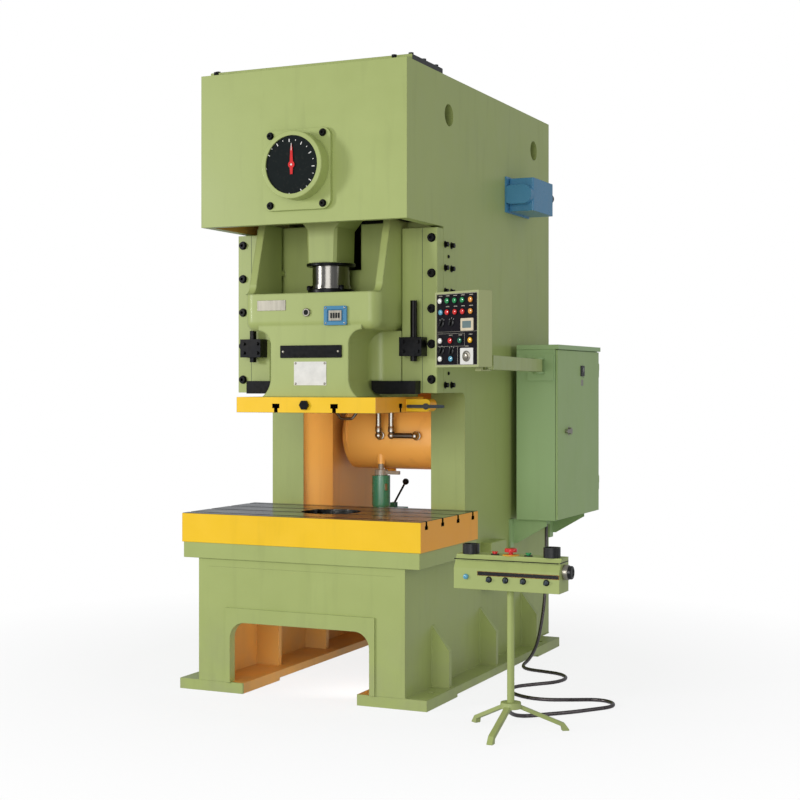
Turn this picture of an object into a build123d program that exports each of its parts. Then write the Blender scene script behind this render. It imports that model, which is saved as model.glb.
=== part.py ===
from build123d import *
import os
from math import atan2, cos, degrees, pi, radians, sin, tan

# Mechanical C-frame punch press of 1600 kN with its cabinet, pendant and two-hand pedestal.
# Origin at the centre of the foundation bolts, on the floor. X runs left to right as the
# operator sees it, Y from front to back, Z up. All sizes are in millimetres.

# Clearances
running_fit = 0.05
slide_gap = 0.5
turn_gap = 1.0
seat_gap = 0.3

# Press capacity sizes
stroke = 160.0
die_opening = 501.0
bolster_width = 1300.0
bolster_depth = 720.0
bolster_thickness = 144.0
bolster_bore_r = 150.0

# Frame
frame_width = 1125.0
side_thickness = 50.0
plate_thickness = 40.0
foot_length = 1930.0
foot_width = 361.0
rail_height = 52.0
rail_lift = 14.0
pad_length = 374.0
foundation_x = 1234.0
foundation_y = 1556.0
foundation_hole_r = 17.5
bed_thickness = 77.0
frame_top = 3055.0
crank_below_top = 485.0
crank_over_ram = 240.0
head_under_crank = 270.0
die_y = -623.0
base_reach = 343.0
head_reach = 321.0
guide_setback = 118.0
throat_depth = 403.0
throat_round = 40.0
frame_back = 1099.0
lifting_r = 55.0
lifting_drop = 193.0
lifting_reach = 511.0
lifting_back_margin = 267.0

side_x = frame_width / 2
inner_x = side_x - side_thickness
base_front = die_y - base_reach
head_front = die_y - head_reach
guide_front = die_y + guide_setback
throat_face = die_y + throat_depth
lifting_z = frame_top - lifting_drop
lifting_front_y = head_front + lifting_reach
lifting_back_y = frame_back - lifting_back_margin

# Slide
slide_plate_width = 768.0
slide_plate_front = 282.0
slide_plate_depth = 564.0
slide_plate_thickness = 76.0
shank_r = 30.0
neck_half = 215.0
neck_reach = 236.0
neck_height = 328.0
neck_flare = 50.0
neck_top_flare = 70.0
slide_box_half = 370.0
slide_box_reach = 241.0
slide_box_height = 182.0
slide_box_corner = 55.0
slide_box_edge = 45.0
cheek_thickness = 40.0
cheek_foot_reach = 175.0
cheek_head_reach = 90.0
cheek_foot_fillet = 50.0
guide_wall_height = 363.0
rail_depth = 124.5
rail_foot = 33.0

ram_height = slide_plate_thickness + neck_height + slide_box_height + guide_wall_height
crank_z = frame_top - crank_below_top
head_bottom = crank_z - head_under_crank
ram_top = crank_z - crank_over_ram
slide_bottom = ram_top - ram_height
bolster_top = slide_bottom - die_opening
bed_top = bolster_top - bolster_thickness
base_top = bed_top - bed_thickness
ram_bottom = slide_bottom + slide_plate_thickness
neck_top = ram_bottom + neck_height
slide_box_top = neck_top + slide_box_height
slide_plate_y = die_y - slide_plate_front + slide_plate_depth / 2
rail_front = guide_front + slide_gap
rail_back = rail_front + rail_depth

# Arch in the base and the band around it
arch_half = 380.0
arch_share = 0.5311
arch_corner = 80.0
band_side = 28.0
band_top = 70.0
band_thickness = 8.0
arch_top = base_top * arch_share

# Guides
guide_lift = 96.0
guide_head_gap = 10.0
gib_thickness = 79.0
gib_gap = 3.0
gib_bolt_r = 17.0
gib_bolt_rows = 5
gib_bolt_margin = 29.5
liner_thickness = 16.0
adjuster_r = 10.0
adjuster_pitch_y = 80.0
adjuster_rows = 7
adjuster_foot_margin = 39.0
adjuster_head_margin = 76.0
block_gap = 3.0
block_over_head = 90.0
column_wall = 30.0
column_length = 347.0

guide_bottom = slide_bottom + guide_lift
guide_top = head_bottom - guide_head_gap
gib_inner = slide_box_half + gib_gap
gib_bolt_x = side_x - gib_bolt_margin
gib_front = guide_front - gib_thickness
body_front = gib_front
block_inner = slide_box_half + block_gap
block_top = head_bottom + block_over_head
rail_side = inner_x - liner_thickness - slide_gap
rail_mid = (rail_front + rail_back) / 2
adjuster_first_z = guide_bottom + adjuster_foot_margin
adjuster_last_z = guide_top - adjuster_head_margin
adjuster_pitch_z = (adjuster_last_z - adjuster_first_z) / (adjuster_rows - 1)
adjuster_mid_z = (adjuster_first_z + adjuster_last_z) / 2

# Drive train
journal_r = 100.0
crank_pin_r = 100.0
crank_web = 50.0
crank_web_r = 170.0
bush_wall = 10.0
rod_depth = 220.0
rod_width = 160.0
rod_over_box = 158.0
rod_ring = 14.0
rod_ring_lip = 28.0
rod_eye_wall = 55.0
screw_r = 60.0
screw_length = 251.0
screw_collar_r = 94.0
screw_collar = 97.0
screw_nut_r = 100.0
screw_nut = 29.0
screw_foot_r = 75.0
screw_foot = 150.0
gear_module = 10.0
gear_teeth = 82
pressure_angle = 20.0
pinion_teeth = 16
gear_face = 140.0
gear_y = 100.0
pinion_r = 50.0
flywheel_r = 430.0
flywheel_width = 140.0
flywheel_y = 760.0
belt_count = 4
belt_width = 17.0
belt_height = 14.0
belt_pitch = 28.0
motor_x = -300.0
motor_drop = 275.0
motor_r = 125.0
motor_length = 350.0
motor_pulley_r = 106.0
motor_shaft_r = 24.0
bearing_plate_rise = 423.0
bearing_plate_gap = 70.0
bearing_plate_t = 60.0
front_bearing_y = -880.0
rod_bearing_y = -370.0
pinion_bearing_y = -20.0
rear_bearing_y = 290.0

crank_throw = stroke / 2
crank_web_offset = crank_throw / 4
pin_z = crank_z + crank_throw
gear_pitch_r = gear_module * gear_teeth / 2
pinion_pitch_r = gear_module * pinion_teeth / 2
pinion_z = crank_z - gear_pitch_r - pinion_pitch_r
motor_z = frame_top - motor_drop
rod_front = die_y - rod_depth / 2
rod_back = die_y + rod_depth / 2
rod_bottom = slide_box_top + rod_over_box
bearing_plate_foot = guide_bottom + bearing_plate_rise
bearing_plate_y = (front_bearing_y, rod_bearing_y, pinion_bearing_y, rear_bearing_y)

# Dial
dial_drum_r = 163.0
dial_face_r = 140.0
dial_wall = 13.0
dial_plate_width = 370.0
dial_plate_height = 390.0
dial_plate_thickness = 20.0
dial_plate_x = -14.0
dial_plate_drop = 13.0
dial_plate_corner = 45.0
dial_depth = 79.0
dial_bolt_x = 287.0
dial_bolt_z = 339.0
dial_bolt_r = 14.0
dial_stub_r = 15.0
dial_lip = 8.0
dial_plate_z = crank_z - dial_plate_drop
dial_front = head_front - dial_plate_thickness - dial_depth

# Air tank and its fittings
tank_r = 200.0
tank_length = 1010.0
tank_y = 577.0
tank_drop = 247.0
bowl_r = 52.0
bowl_x = -218.0
bowl_y = 430.0
bowl_drop = 412.0
bowl_height = 180.0
pipe_r = 15.0

tank_z = guide_bottom - tank_drop
bowl_bottom = tank_z - bowl_drop

# Lubrication pump
pump_x = -300.0
pump_y = 777.0
pump_width = 150.0
pump_depth = 110.0
pump_height = 130.0
lever_length = 160.0
lever_lean = 30.0
lever_ball_r = 19.0
lever_rod_r = 6.0

# Valve box on the right side
valve_wall = 9.5
valve_width = 142.0
valve_height = 180.0
valve_top_drop = 407.0
valve_y0 = 400.0
valve_y1 = 730.0
valve_knob_r = 29.0

valve_x0 = side_x + valve_wall
valve_x1 = valve_x0 + valve_width
valve_z1 = frame_top - valve_top_drop
valve_z0 = valve_z1 - valve_height

# Electrical cabinet
cabinet_gap = 37.5
cabinet_width = 224.0
cabinet_y0 = 443.0
cabinet_length = 768.0
cabinet_lift = 116.0
cabinet_height = 961.0
sheet = 3.0
door_thickness = 12.0
door_margin = 4.0
hinge_r = 4.5
hinge_pin_r = 2.5
knuckle_height = 40.0
hinge_foot = 125.0
hinge_head = 785.0
handle_reach = 203.0
handle_rise = 485.0

cabinet_x0 = side_x + cabinet_gap
cabinet_x1 = cabinet_x0 + cabinet_width
cabinet_y1 = cabinet_y0 + cabinet_length
cabinet_z0 = base_top + cabinet_lift
cabinet_z1 = cabinet_z0 + cabinet_height
hinge_z = (cabinet_z0 + hinge_foot, cabinet_z0 + hinge_head)
handle_y = cabinet_y0 + handle_reach
handle_z = cabinet_z0 + handle_rise

# Pendant arm and pendant
arm_pivot_inset = 83.0
arm_pivot_reach = 53.0
arm_size = 66.0
arm_wall = 5.0
arm_drop = 148.0
arm_swing = 8.7
arm_length = 1272.0
pendant_turn = 24.8
pendant_width = 295.0
pendant_height = 350.0
pendant_depth = 85.0
pendant_lift = 11.0
pendant_setback = 45.0
pendant_right = 81.0
swivel_pin_r = 10.0

arm_pivot_x = cabinet_x1 - arm_pivot_inset
arm_pivot_y = cabinet_y0 - arm_pivot_reach
arm_z0 = cabinet_z1 - arm_drop
pendant_z0 = arm_z0 + pendant_lift

# Two-hand pedestal
stand_x = 1165.0
stand_y = -1177.0
pole_r = 16.0
leg_reach = 260.0
leg_angles = (-90.0, 150.0, 33.0)
hub_z = 132.0
box_width = 486.0
box_depth = 124.0
box_left = 238.0
box_reach = 76.0
box_bottom = 626.0
box_lip_rise = 91.0
box_shoulder_rise = 142.0
box_rise = 148.0
palm_size = 70.0
palm_height = 44.0
palm_travel = 6.0
palm_button_r = 22.0
button_travel = 4.0
small_button_r = 13.0
estop_r = 28.0

box_x0 = stand_x - box_left
box_front = stand_y - box_reach
box_lip = box_bottom + box_lip_rise
box_shoulder = box_bottom + box_shoulder_rise
box_top = box_bottom + box_rise
palm_x = (box_x0 + 57.0, box_x0 + 432.0)
stop_x = box_x0 + 170.0
estop_x = box_x0 + 244.0
start_x = box_x0 + 325.0
button_y = box_front + box_depth / 2

os.makedirs("parts", exist_ok=True)


def back_plane(y, z=0):
    """Plane at depth y and height z whose sketches read X and Z and whose extrusions run to the front."""
    return Plane(origin=(0, y, z), x_dir=(1, 0, 0), z_dir=(0, -1, 0))


def arch_sketch(half_width, height, floor):
    """Outline of a base plate: a rectangle with the round-cornered arch cut from its foot."""
    with BuildSketch(mode=Mode.PRIVATE) as outline:
        with Locations((0, floor)):
            Rectangle(2 * half_width, height - floor, align=(Align.CENTER, Align.MIN))
        with Locations((0, arch_top)):
            RectangleRounded(
                2 * arch_half, 2 * arch_top, arch_corner, align=(Align.CENTER, Align.MAX), mode=Mode.SUBTRACT
            )
    return outline.sketch


def t_slot(centre, mouth, direction, neck, neck_depth, head, head_depth):
    """T-slot outline whose mouth lies at the given height and which runs into the plate."""
    near = Align.MAX if direction < 0 else Align.MIN
    with Locations((centre, mouth)):
        Rectangle(neck, neck_depth + head_depth, align=(Align.CENTER, near))
    with Locations((centre, mouth + direction * neck_depth)):
        Rectangle(head, head_depth, align=(Align.CENTER, near))


def gear_points(teeth, first_angle, backlash):
    """Points round a spur gear with straight flanks, its first tooth at the given angle."""
    pitch_r = gear_module * teeth / 2
    tip_r = pitch_r + 0.8 * gear_module
    root_r = pitch_r - 1.15 * gear_module
    half = (pi * gear_module / 2 - backlash) / 2
    flank = tan(radians(pressure_angle))
    tip_half = (half - (tip_r - pitch_r) * flank) / tip_r
    root_half = (half + (pitch_r - root_r) * flank) / root_r
    points = []
    for tooth in range(teeth):
        middle = radians(first_angle) + 2 * pi * tooth / teeth
        for radius, angle in (
            (root_r, middle - root_half),
            (tip_r, middle - tip_half),
            (tip_r, middle + tip_half),
            (root_r, middle + root_half),
        ):
            points.append((radius * cos(angle), radius * sin(angle)))
    return points


# Side plates
for side, sign in (("left", -1), ("right", 1)):
    with BuildPart() as side_plate:
        with BuildSketch(Plane.YZ.offset(sign * (side_x + inner_x) / 2)) as outline:
            with BuildLine():
                Polyline(
                    (base_front, rail_height),
                    (frame_back, rail_height),
                    (frame_back, frame_top),
                    (head_front, frame_top),
                    (head_front, head_bottom),
                    (guide_front, head_bottom),
                    (guide_front, guide_bottom),
                    (throat_face, guide_bottom),
                    (throat_face, base_top),
                    (base_front, base_top),
                    close=True,
                )
            make_face()
            fillet(outline.vertices().sort_by_distance((throat_face, guide_bottom))[0], throat_round)
            with Locations((lifting_front_y, lifting_z), (lifting_back_y, lifting_z)):
                Circle(lifting_r, mode=Mode.SUBTRACT)
            with Locations((rail_mid, adjuster_mid_z)):
                with GridLocations(adjuster_pitch_y, adjuster_pitch_z, 2, adjuster_rows):
                    Circle(adjuster_r + running_fit, mode=Mode.SUBTRACT)
        extrude(amount=side_thickness / 2, both=True)
    side_plate.part.label = f"side_plate_{side}"
    export_step(side_plate.part, f"parts/side_plate_{side}.step")

# Base front plate with the raised band round its arch
with BuildPart() as base_front_plate:
    with BuildSketch(back_plane(base_front + plate_thickness)):
        add(arch_sketch(inner_x, base_top - plate_thickness, rail_height))
    extrude(amount=plate_thickness)
    with BuildSketch(back_plane(base_front)):
        add(arch_sketch(arch_half + band_side, arch_top + band_top, rail_height))
    extrude(amount=band_thickness)
base_front_plate.part.label = "base_front_plate"
export_step(base_front_plate.part, "parts/base_front_plate.step")

# Cross plates in the base and the frame round the opening in the back
web_thickness = 30.0
web_y = (-480.0, 60.0, 620.0)
back_opening_half = 440.0
back_opening_rise = 143.0
back_opening_drop = 355.0
back_apron = 100.0
back_opening_foot = guide_bottom + back_opening_rise
back_opening_top = frame_top - back_opening_drop
with BuildPart() as cross_plates:
    for y in web_y:
        with BuildSketch(back_plane(y + web_thickness)):
            add(arch_sketch(inner_x, base_top - plate_thickness, rail_height))
        extrude(amount=web_thickness)
    with BuildSketch(back_plane(frame_back)):
        add(arch_sketch(inner_x, base_top - plate_thickness, rail_height))
    extrude(amount=web_thickness)
    with BuildSketch(back_plane(frame_back)):
        with Locations((0, guide_bottom - back_apron)):
            Rectangle(2 * inner_x, frame_top - guide_bottom + back_apron, align=(Align.CENTER, Align.MIN))
        with Locations((0, back_opening_foot)):
            Rectangle(
                2 * back_opening_half,
                back_opening_top - back_opening_foot,
                align=(Align.CENTER, Align.MIN),
                mode=Mode.SUBTRACT,
            )
    extrude(amount=web_thickness)
cross_plates.part.label = "cross_plates"
export_step(cross_plates.part, "parts/cross_plates.step")

# Level plates: base deck, floor of the drive space and top of the head
slug_hole_r = 130.0
floor_thickness = 30.0
top_opening_half = 430.0
top_opening_depth = 240.0
top_opening_reach = 263.0
top_opening_y = head_front + top_opening_reach
with BuildPart() as deck_plates:
    with BuildSketch(Plane.XY.offset(base_top - plate_thickness)):
        with Locations((0, base_front)):
            Rectangle(2 * inner_x, frame_back - base_front, align=(Align.CENTER, Align.MIN))
        with Locations((0, die_y)):
            Circle(slug_hole_r, mode=Mode.SUBTRACT)
    extrude(amount=plate_thickness)
    with BuildSketch(Plane.XY.offset(guide_bottom)):
        with Locations((0, throat_face)):
            Rectangle(
                2 * inner_x, frame_back - web_thickness - throat_face, align=(Align.CENTER, Align.MIN)
            )
    extrude(amount=floor_thickness)
    with BuildSketch(Plane.XY.offset(frame_top - plate_thickness)):
        with Locations((0, head_front + plate_thickness)):
            Rectangle(
                2 * inner_x,
                frame_back - web_thickness - head_front - plate_thickness,
                align=(Align.CENTER, Align.MIN),
            )
        with Locations((0, top_opening_y)):
            Rectangle(2 * top_opening_half, top_opening_depth, mode=Mode.SUBTRACT)
    extrude(amount=plate_thickness)
deck_plates.part.label = "deck_plates"
export_step(deck_plates.part, "parts/deck_plates.step")

# Foot rails with their pads and foundation holes
rail_inset = 70.0
rail_x = side_x - rail_inset
pad_y = (foot_length - pad_length) / 2
with BuildPart() as foot_rails:
    with BuildSketch(Plane.XY.offset(rail_lift)):
        with Locations((-rail_x, 0), (rail_x, 0)):
            Rectangle(foot_width, foot_length)
    extrude(amount=rail_height - rail_lift)
    with BuildSketch(Plane.XY):
        with GridLocations(2 * rail_x, 2 * pad_y, 2, 2):
            Rectangle(foot_width, pad_length)
    extrude(amount=rail_lift)
    with BuildSketch(Plane.XY):
        with GridLocations(foundation_x, foundation_y, 2, 2):
            Circle(foundation_hole_r)
    extrude(amount=rail_height, mode=Mode.SUBTRACT)
foot_rails.part.label = "foot_rails"
export_step(foot_rails.part, "parts/foot_rails.step")

# Gussets between the side plates and the rails
gusset_y = (-620.0, 15.0, 650.0)
gusset_thickness = 30.0
gusset_reach = 92.0
gusset_drop = 120.0
gusset_inner_top = arch_top
gusset_outer_top = gusset_inner_top - gusset_drop
with BuildPart() as foot_gussets:
    for y in gusset_y:
        for sign in (-1, 1):
            with BuildSketch(back_plane(y)):
                with BuildLine():
                    Polyline(
                        (sign * side_x, rail_height),
                        (sign * (side_x + gusset_reach), rail_height),
                        (sign * (side_x + gusset_reach), gusset_outer_top),
                        (sign * side_x, gusset_inner_top),
                        close=True,
                    )
                make_face()
            extrude(amount=gusset_thickness)
foot_gussets.part.label = "foot_gussets"
export_step(foot_gussets.part, "parts/foot_gussets.step")

# Bed plate under the bolster
bed_margin = 7.0
bed_edge = 2.0
with BuildPart() as bed_plate:
    with BuildSketch(Plane.XY.offset(base_top)):
        with Locations((0, die_y)):
            Rectangle(bolster_width - 2 * bed_margin, bolster_depth - bed_margin)
            Circle(slug_hole_r, mode=Mode.SUBTRACT)
    extrude(amount=bed_thickness)
    chamfer(bed_plate.edges().filter_by(Axis.Z).group_by(SortBy.LENGTH)[-1][:4], bed_edge)
bed_plate.part.label = "bed_plate"
export_step(bed_plate.part, "parts/bed_plate.step")

# Bolster with four T-slots and the bore
slot_neck = 22.0
slot_neck_depth = 22.0
slot_head = 38.0
slot_head_depth = 18.0
slot_pitch = 195.0
slot_count = 4
bolster_edge = 3.0
with BuildPart() as bolster:
    with BuildSketch(Plane.XY.offset(bed_top)):
        with Locations((0, die_y)):
            Rectangle(bolster_width, bolster_depth)
    extrude(amount=bolster_thickness)
    chamfer(bolster.edges().group_by(Axis.Z)[-1], bolster_edge)
    with BuildSketch(Plane.YZ.offset(-bolster_width / 2)):
        for row in range(slot_count):
            t_slot(
                die_y + (row - (slot_count - 1) / 2) * slot_pitch,
                bolster_top,
                -1,
                slot_neck,
                slot_neck_depth,
                slot_head,
                slot_head_depth,
            )
    extrude(amount=bolster_width, mode=Mode.SUBTRACT)
    with BuildSketch(Plane.XY.offset(bed_top)):
        with Locations((0, die_y)):
            Circle(bolster_bore_r)
    extrude(amount=bolster_thickness, mode=Mode.SUBTRACT)
bolster.part.label = "bolster"
export_step(bolster.part, "parts/bolster.step")

# Throat columns: front face and inner wall of each upright
with BuildPart() as throat_columns:
    for sign in (-1, 1):
        with BuildSketch(Plane.XY.offset(base_top)):
            with Locations((sign * (block_inner + inner_x) / 2, throat_face + plate_thickness / 2)):
                Rectangle(inner_x - block_inner, plate_thickness)
            with Locations((sign * (block_inner + column_wall / 2), throat_face + column_length / 2)):
                Rectangle(column_wall, column_length)
        extrude(amount=guide_bottom - base_top)
throat_columns.part.label = "throat_columns"
export_step(throat_columns.part, "parts/throat_columns.step")

# Guide blocks behind the slide's rails
with BuildPart() as guide_blocks:
    block_front = rail_back + slide_gap
    for sign in (-1, 1):
        with BuildSketch(Plane.XY.offset(guide_bottom)):
            with Locations((sign * (block_inner + inner_x) / 2, (block_front + throat_face) / 2)):
                Rectangle(inner_x - block_inner, throat_face - block_front)
        extrude(amount=block_top - guide_bottom)
guide_blocks.part.label = "guide_blocks"
export_step(guide_blocks.part, "parts/guide_blocks.step")

# Gib plates that hold the slide's rails from the front
gib_edge = 3.0
with BuildPart() as gib_plates:
    for sign in (-1, 1):
        with BuildSketch(Plane.XY.offset(guide_bottom)):
            with Locations((sign * (gib_inner + side_x) / 2, guide_front - gib_thickness / 2)):
                Rectangle(side_x - gib_inner, gib_thickness)
        extrude(amount=guide_top - guide_bottom)
    chamfer(gib_plates.edges().filter_by(Axis.Z), gib_edge)
gib_plates.part.label = "gib_plates"
export_step(gib_plates.part, "parts/gib_plates.step")

# Screws of the frame: gib bolts, gib adjusters, dial bolts and eyes for small lifts
gib_row_foot = 67.0
gib_row_head = 50.0
head_bolt_height = 16.0
adjuster_head = 18.0
adjuster_head_r = 13.5
dial_bolt_head = 12.0
socket_share = 0.5
top_bolt_inset = 75.0
top_bolt_setback = 20.0
gib_row_first = guide_bottom + gib_row_foot
gib_row_last = guide_top - gib_row_head
gib_row_pitch = (gib_row_last - gib_row_first) / (gib_bolt_rows - 1)
with BuildPart() as frame_screws:
    with BuildSketch(back_plane(gib_front)):
        with Locations((0, (gib_row_first + gib_row_last) / 2)):
            with GridLocations(2 * gib_bolt_x, gib_row_pitch, 2, gib_bolt_rows):
                Circle(gib_bolt_r)
                RegularPolygon(gib_bolt_r * socket_share, 6, mode=Mode.SUBTRACT)
    extrude(amount=head_bolt_height)
    for sign in (-1, 1):
        with BuildSketch(Plane.YZ.offset(sign * side_x)):
            with Locations((rail_mid, adjuster_mid_z)):
                with GridLocations(adjuster_pitch_y, adjuster_pitch_z, 2, adjuster_rows):
                    RegularPolygon(adjuster_head_r, 6)
        extrude(amount=sign * adjuster_head)
        with BuildSketch(Plane.YZ.offset(sign * inner_x)):
            with Locations((rail_mid, adjuster_mid_z)):
                with GridLocations(adjuster_pitch_y, adjuster_pitch_z, 2, adjuster_rows):
                    Circle(adjuster_r)
        extrude(amount=sign * side_thickness)
    with BuildSketch(back_plane(head_front - dial_plate_thickness)):
        with Locations((dial_plate_x, dial_plate_z)):
            with GridLocations(dial_bolt_x, dial_bolt_z, 2, 2):
                Circle(dial_bolt_r)
                RegularPolygon(dial_bolt_r * socket_share, 6, mode=Mode.SUBTRACT)
    extrude(amount=dial_bolt_head)
    with BuildSketch(Plane.XY.offset(frame_top)):
        with Locations((0, head_front + top_bolt_setback)):
            with GridLocations(2 * (side_x - top_bolt_inset), 1, 2, 1):
                RegularPolygon(adjuster_head_r, 6)
    extrude(amount=adjuster_head)
frame_screws.part.label = "frame_screws"
export_step(frame_screws.part, "parts/frame_screws.step")

# Head front plate
dial_port_r = 110.0
with BuildPart() as head_front_plate:
    with BuildSketch(back_plane(head_front + plate_thickness)):
        with Locations((0, head_bottom)):
            Rectangle(2 * inner_x, frame_top - head_bottom, align=(Align.CENTER, Align.MIN))
        with Locations((0, crank_z)):
            Circle(dial_port_r, mode=Mode.SUBTRACT)
    extrude(amount=plate_thickness)
head_front_plate.part.label = "head_front_plate"
export_step(head_front_plate.part, "parts/head_front_plate.step")

# Sheet cover over the opening in the back, with its louvres
cover_margin = 30.0
louvre_count = 9
louvre_pitch = 70.0
louvre_rise = 120.0
louvre_half = 300.0
louvre_reach = 14.0
louvre_height = 34.0
with BuildPart() as rear_cover:
    with BuildSketch(back_plane(frame_back + sheet)):
        with Locations((0, back_opening_foot - cover_margin)):
            Rectangle(
                2 * (back_opening_half + cover_margin),
                back_opening_top - back_opening_foot + 2 * cover_margin,
                align=(Align.CENTER, Align.MIN),
            )
    extrude(amount=sheet)
    for louvre in range(louvre_count):
        louvre_z = back_opening_foot + louvre_rise + louvre * louvre_pitch
        with BuildSketch(Plane.YZ.offset(-louvre_half)):
            with BuildLine():
                Polyline(
                    (frame_back + sheet, louvre_z),
                    (frame_back + sheet + louvre_reach, louvre_z),
                    (frame_back + sheet, louvre_z + louvre_height),
                    close=True,
                )
            make_face()
        extrude(amount=2 * louvre_half)
rear_cover.part.label = "rear_cover"
export_step(rear_cover.part, "parts/rear_cover.step")

# Bearing plates across the head
with BuildPart() as bearing_plates:
    for index, y in enumerate(bearing_plate_y):
        carries_pinion = index > 1
        foot = bearing_plate_foot if carries_pinion else ram_top + bearing_plate_gap
        with BuildSketch(back_plane(y + bearing_plate_t)):
            with Locations((0, foot)):
                Rectangle(2 * inner_x, frame_top - plate_thickness - foot, align=(Align.CENTER, Align.MIN))
            with Locations((0, crank_z)):
                Circle(journal_r + bush_wall, mode=Mode.SUBTRACT)
            if carries_pinion:
                with Locations((0, pinion_z)):
                    Circle(pinion_r + bush_wall, mode=Mode.SUBTRACT)
        extrude(amount=bearing_plate_t)
bearing_plates.part.label = "bearing_plates"
export_step(bearing_plates.part, "parts/bearing_plates.step")

# Bronze bushes in the bearing plates and bronze liners beside the slide's rails
liner_margin = 10.0
with BuildPart() as bronze_bearings:
    for index, y in enumerate(bearing_plate_y):
        with BuildSketch(back_plane(y + bearing_plate_t)):
            with Locations((0, crank_z)):
                Circle(journal_r + bush_wall)
                Circle(journal_r + running_fit, mode=Mode.SUBTRACT)
            if index > 1:
                with Locations((0, pinion_z)):
                    Circle(pinion_r + bush_wall)
                    Circle(pinion_r + running_fit, mode=Mode.SUBTRACT)
        extrude(amount=bearing_plate_t)
    for sign in (-1, 1):
        with BuildSketch(Plane.XY.offset(guide_bottom + liner_margin)):
            with Locations((sign * (inner_x - liner_thickness / 2), rail_mid)):
                Rectangle(liner_thickness, rail_depth)
        extrude(amount=guide_top - guide_bottom - 2 * liner_margin)
bronze_bearings.part.label = "bronze_bearings"
export_step(bronze_bearings.part, "parts/bronze_bearings.step")

# Dial housing: square flange and round drum with a lip round the face
dial_edge = 5.0
with BuildPart() as dial_housing:
    with BuildSketch(back_plane(head_front)):
        with Locations((dial_plate_x, dial_plate_z)):
            RectangleRounded(dial_plate_width, dial_plate_height, dial_plate_corner)
    extrude(amount=dial_plate_thickness)
    with BuildSketch(back_plane(head_front - dial_plate_thickness)):
        with Locations((0, crank_z)):
            Circle(dial_drum_r)
    extrude(amount=dial_depth)
    with BuildSketch(back_plane(head_front)):
        with Locations((0, crank_z)):
            Circle(dial_drum_r - dial_wall)
    extrude(amount=dial_plate_thickness + dial_depth - dial_lip, mode=Mode.SUBTRACT)
    with BuildSketch(back_plane(head_front)):
        with Locations((0, crank_z)):
            Circle(dial_face_r)
    extrude(amount=dial_plate_thickness + dial_depth, mode=Mode.SUBTRACT)
    fillet(dial_housing.faces().sort_by(Axis.Y)[0].outer_wire().edges(), dial_edge)
dial_housing.part.label = "dial_housing"
export_step(dial_housing.part, "parts/dial_housing.step")

# Dial face with raised ticks
face_thickness = 4.0
tick_count = 36
tick_length = 12.0
tick_width = 2.5
tick_height = 0.6
tick_inset = 14.0
dial_face_front = dial_front + dial_lip
with BuildPart() as dial_face:
    with BuildSketch(back_plane(dial_face_front + face_thickness)):
        with Locations((0, crank_z)):
            Circle(dial_drum_r - dial_wall)
            Circle(dial_stub_r + turn_gap, mode=Mode.SUBTRACT)
    extrude(amount=face_thickness)
    with BuildSketch(back_plane(dial_face_front)):
        with Locations((0, crank_z)):
            with PolarLocations(dial_face_r - tick_inset, tick_count):
                Rectangle(tick_length, tick_width)
    extrude(amount=tick_height)
dial_face.part.label = "dial_face"
export_step(dial_face.part, "parts/dial_face.step")

# Cover plate over the opening in the top, with its screws
top_cover_inset = 7.5
top_cover_lap = 65.0
top_cover_thickness = 30.0
top_cover_edge = 3.0
cover_screw_inset = 22.0
cover_screw_rows = 3
cover_screw_pitch = 150.0
cover_screw_head = 12.0
top_cover_half = side_x - top_cover_inset
with BuildPart() as top_cover:
    with BuildSketch(Plane.XY.offset(frame_top)):
        with Locations((0, top_opening_y)):
            Rectangle(2 * top_cover_half, top_opening_depth + 2 * top_cover_lap)
    extrude(amount=top_cover_thickness)
    chamfer(top_cover.edges().group_by(Axis.Z)[-1], top_cover_edge)
    with BuildSketch(Plane.XY.offset(frame_top + top_cover_thickness)):
        with Locations((0, top_opening_y)):
            cover_screw_span = 2 * (top_cover_half - cover_screw_inset)
            with GridLocations(cover_screw_span, cover_screw_pitch, 2, cover_screw_rows):
                RegularPolygon(adjuster_head_r, 6)
    extrude(amount=cover_screw_head)
top_cover.part.label = "top_cover"
export_step(top_cover.part, "parts/top_cover.step")

# Stop brackets on the gib plates, with the screws that they clamp
stop_margin = 17.0
stop_width = 119.0
stop_rise = 181.0
stop_height = 93.0
stop_reach = 72.0
stop_screw_margin = 63.0
stop_screw_r = 17.0
stop_screw_drop = 25.0
stop_screw_short = 162.0
stop_screw_long = 298.0
stop_nut_r = 9.0
stop_nut_x = 78.5
stop_nut_z = 46.5
stop_inner = gib_inner + stop_margin
stop_screw_x = stop_inner + stop_screw_margin
stop_z0 = guide_bottom + stop_rise
with BuildPart() as stop_brackets:
    for sign, length in ((-1, stop_screw_short), (1, stop_screw_long)):
        with BuildSketch(Plane.XY.offset(stop_z0)):
            with Locations((sign * (stop_inner + stop_width / 2), gib_front - stop_reach / 2)):
                Rectangle(stop_width, stop_reach)
        extrude(amount=stop_height)
        with BuildSketch(Plane.XY.offset(stop_z0 - stop_screw_drop)):
            with Locations((sign * stop_screw_x, gib_front - stop_reach / 2)):
                Circle(stop_screw_r)
        extrude(amount=length)
        with BuildSketch(back_plane(gib_front - stop_reach)):
            with Locations((sign * (stop_inner + stop_width / 2), stop_z0 + stop_height / 2)):
                with GridLocations(stop_nut_x, stop_nut_z, 2, 2):
                    RegularPolygon(stop_nut_r, 6)
        extrude(amount=stop_nut_r)
stop_brackets.part.label = "stop_brackets"
export_step(stop_brackets.part, "parts/stop_brackets.step")

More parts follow.
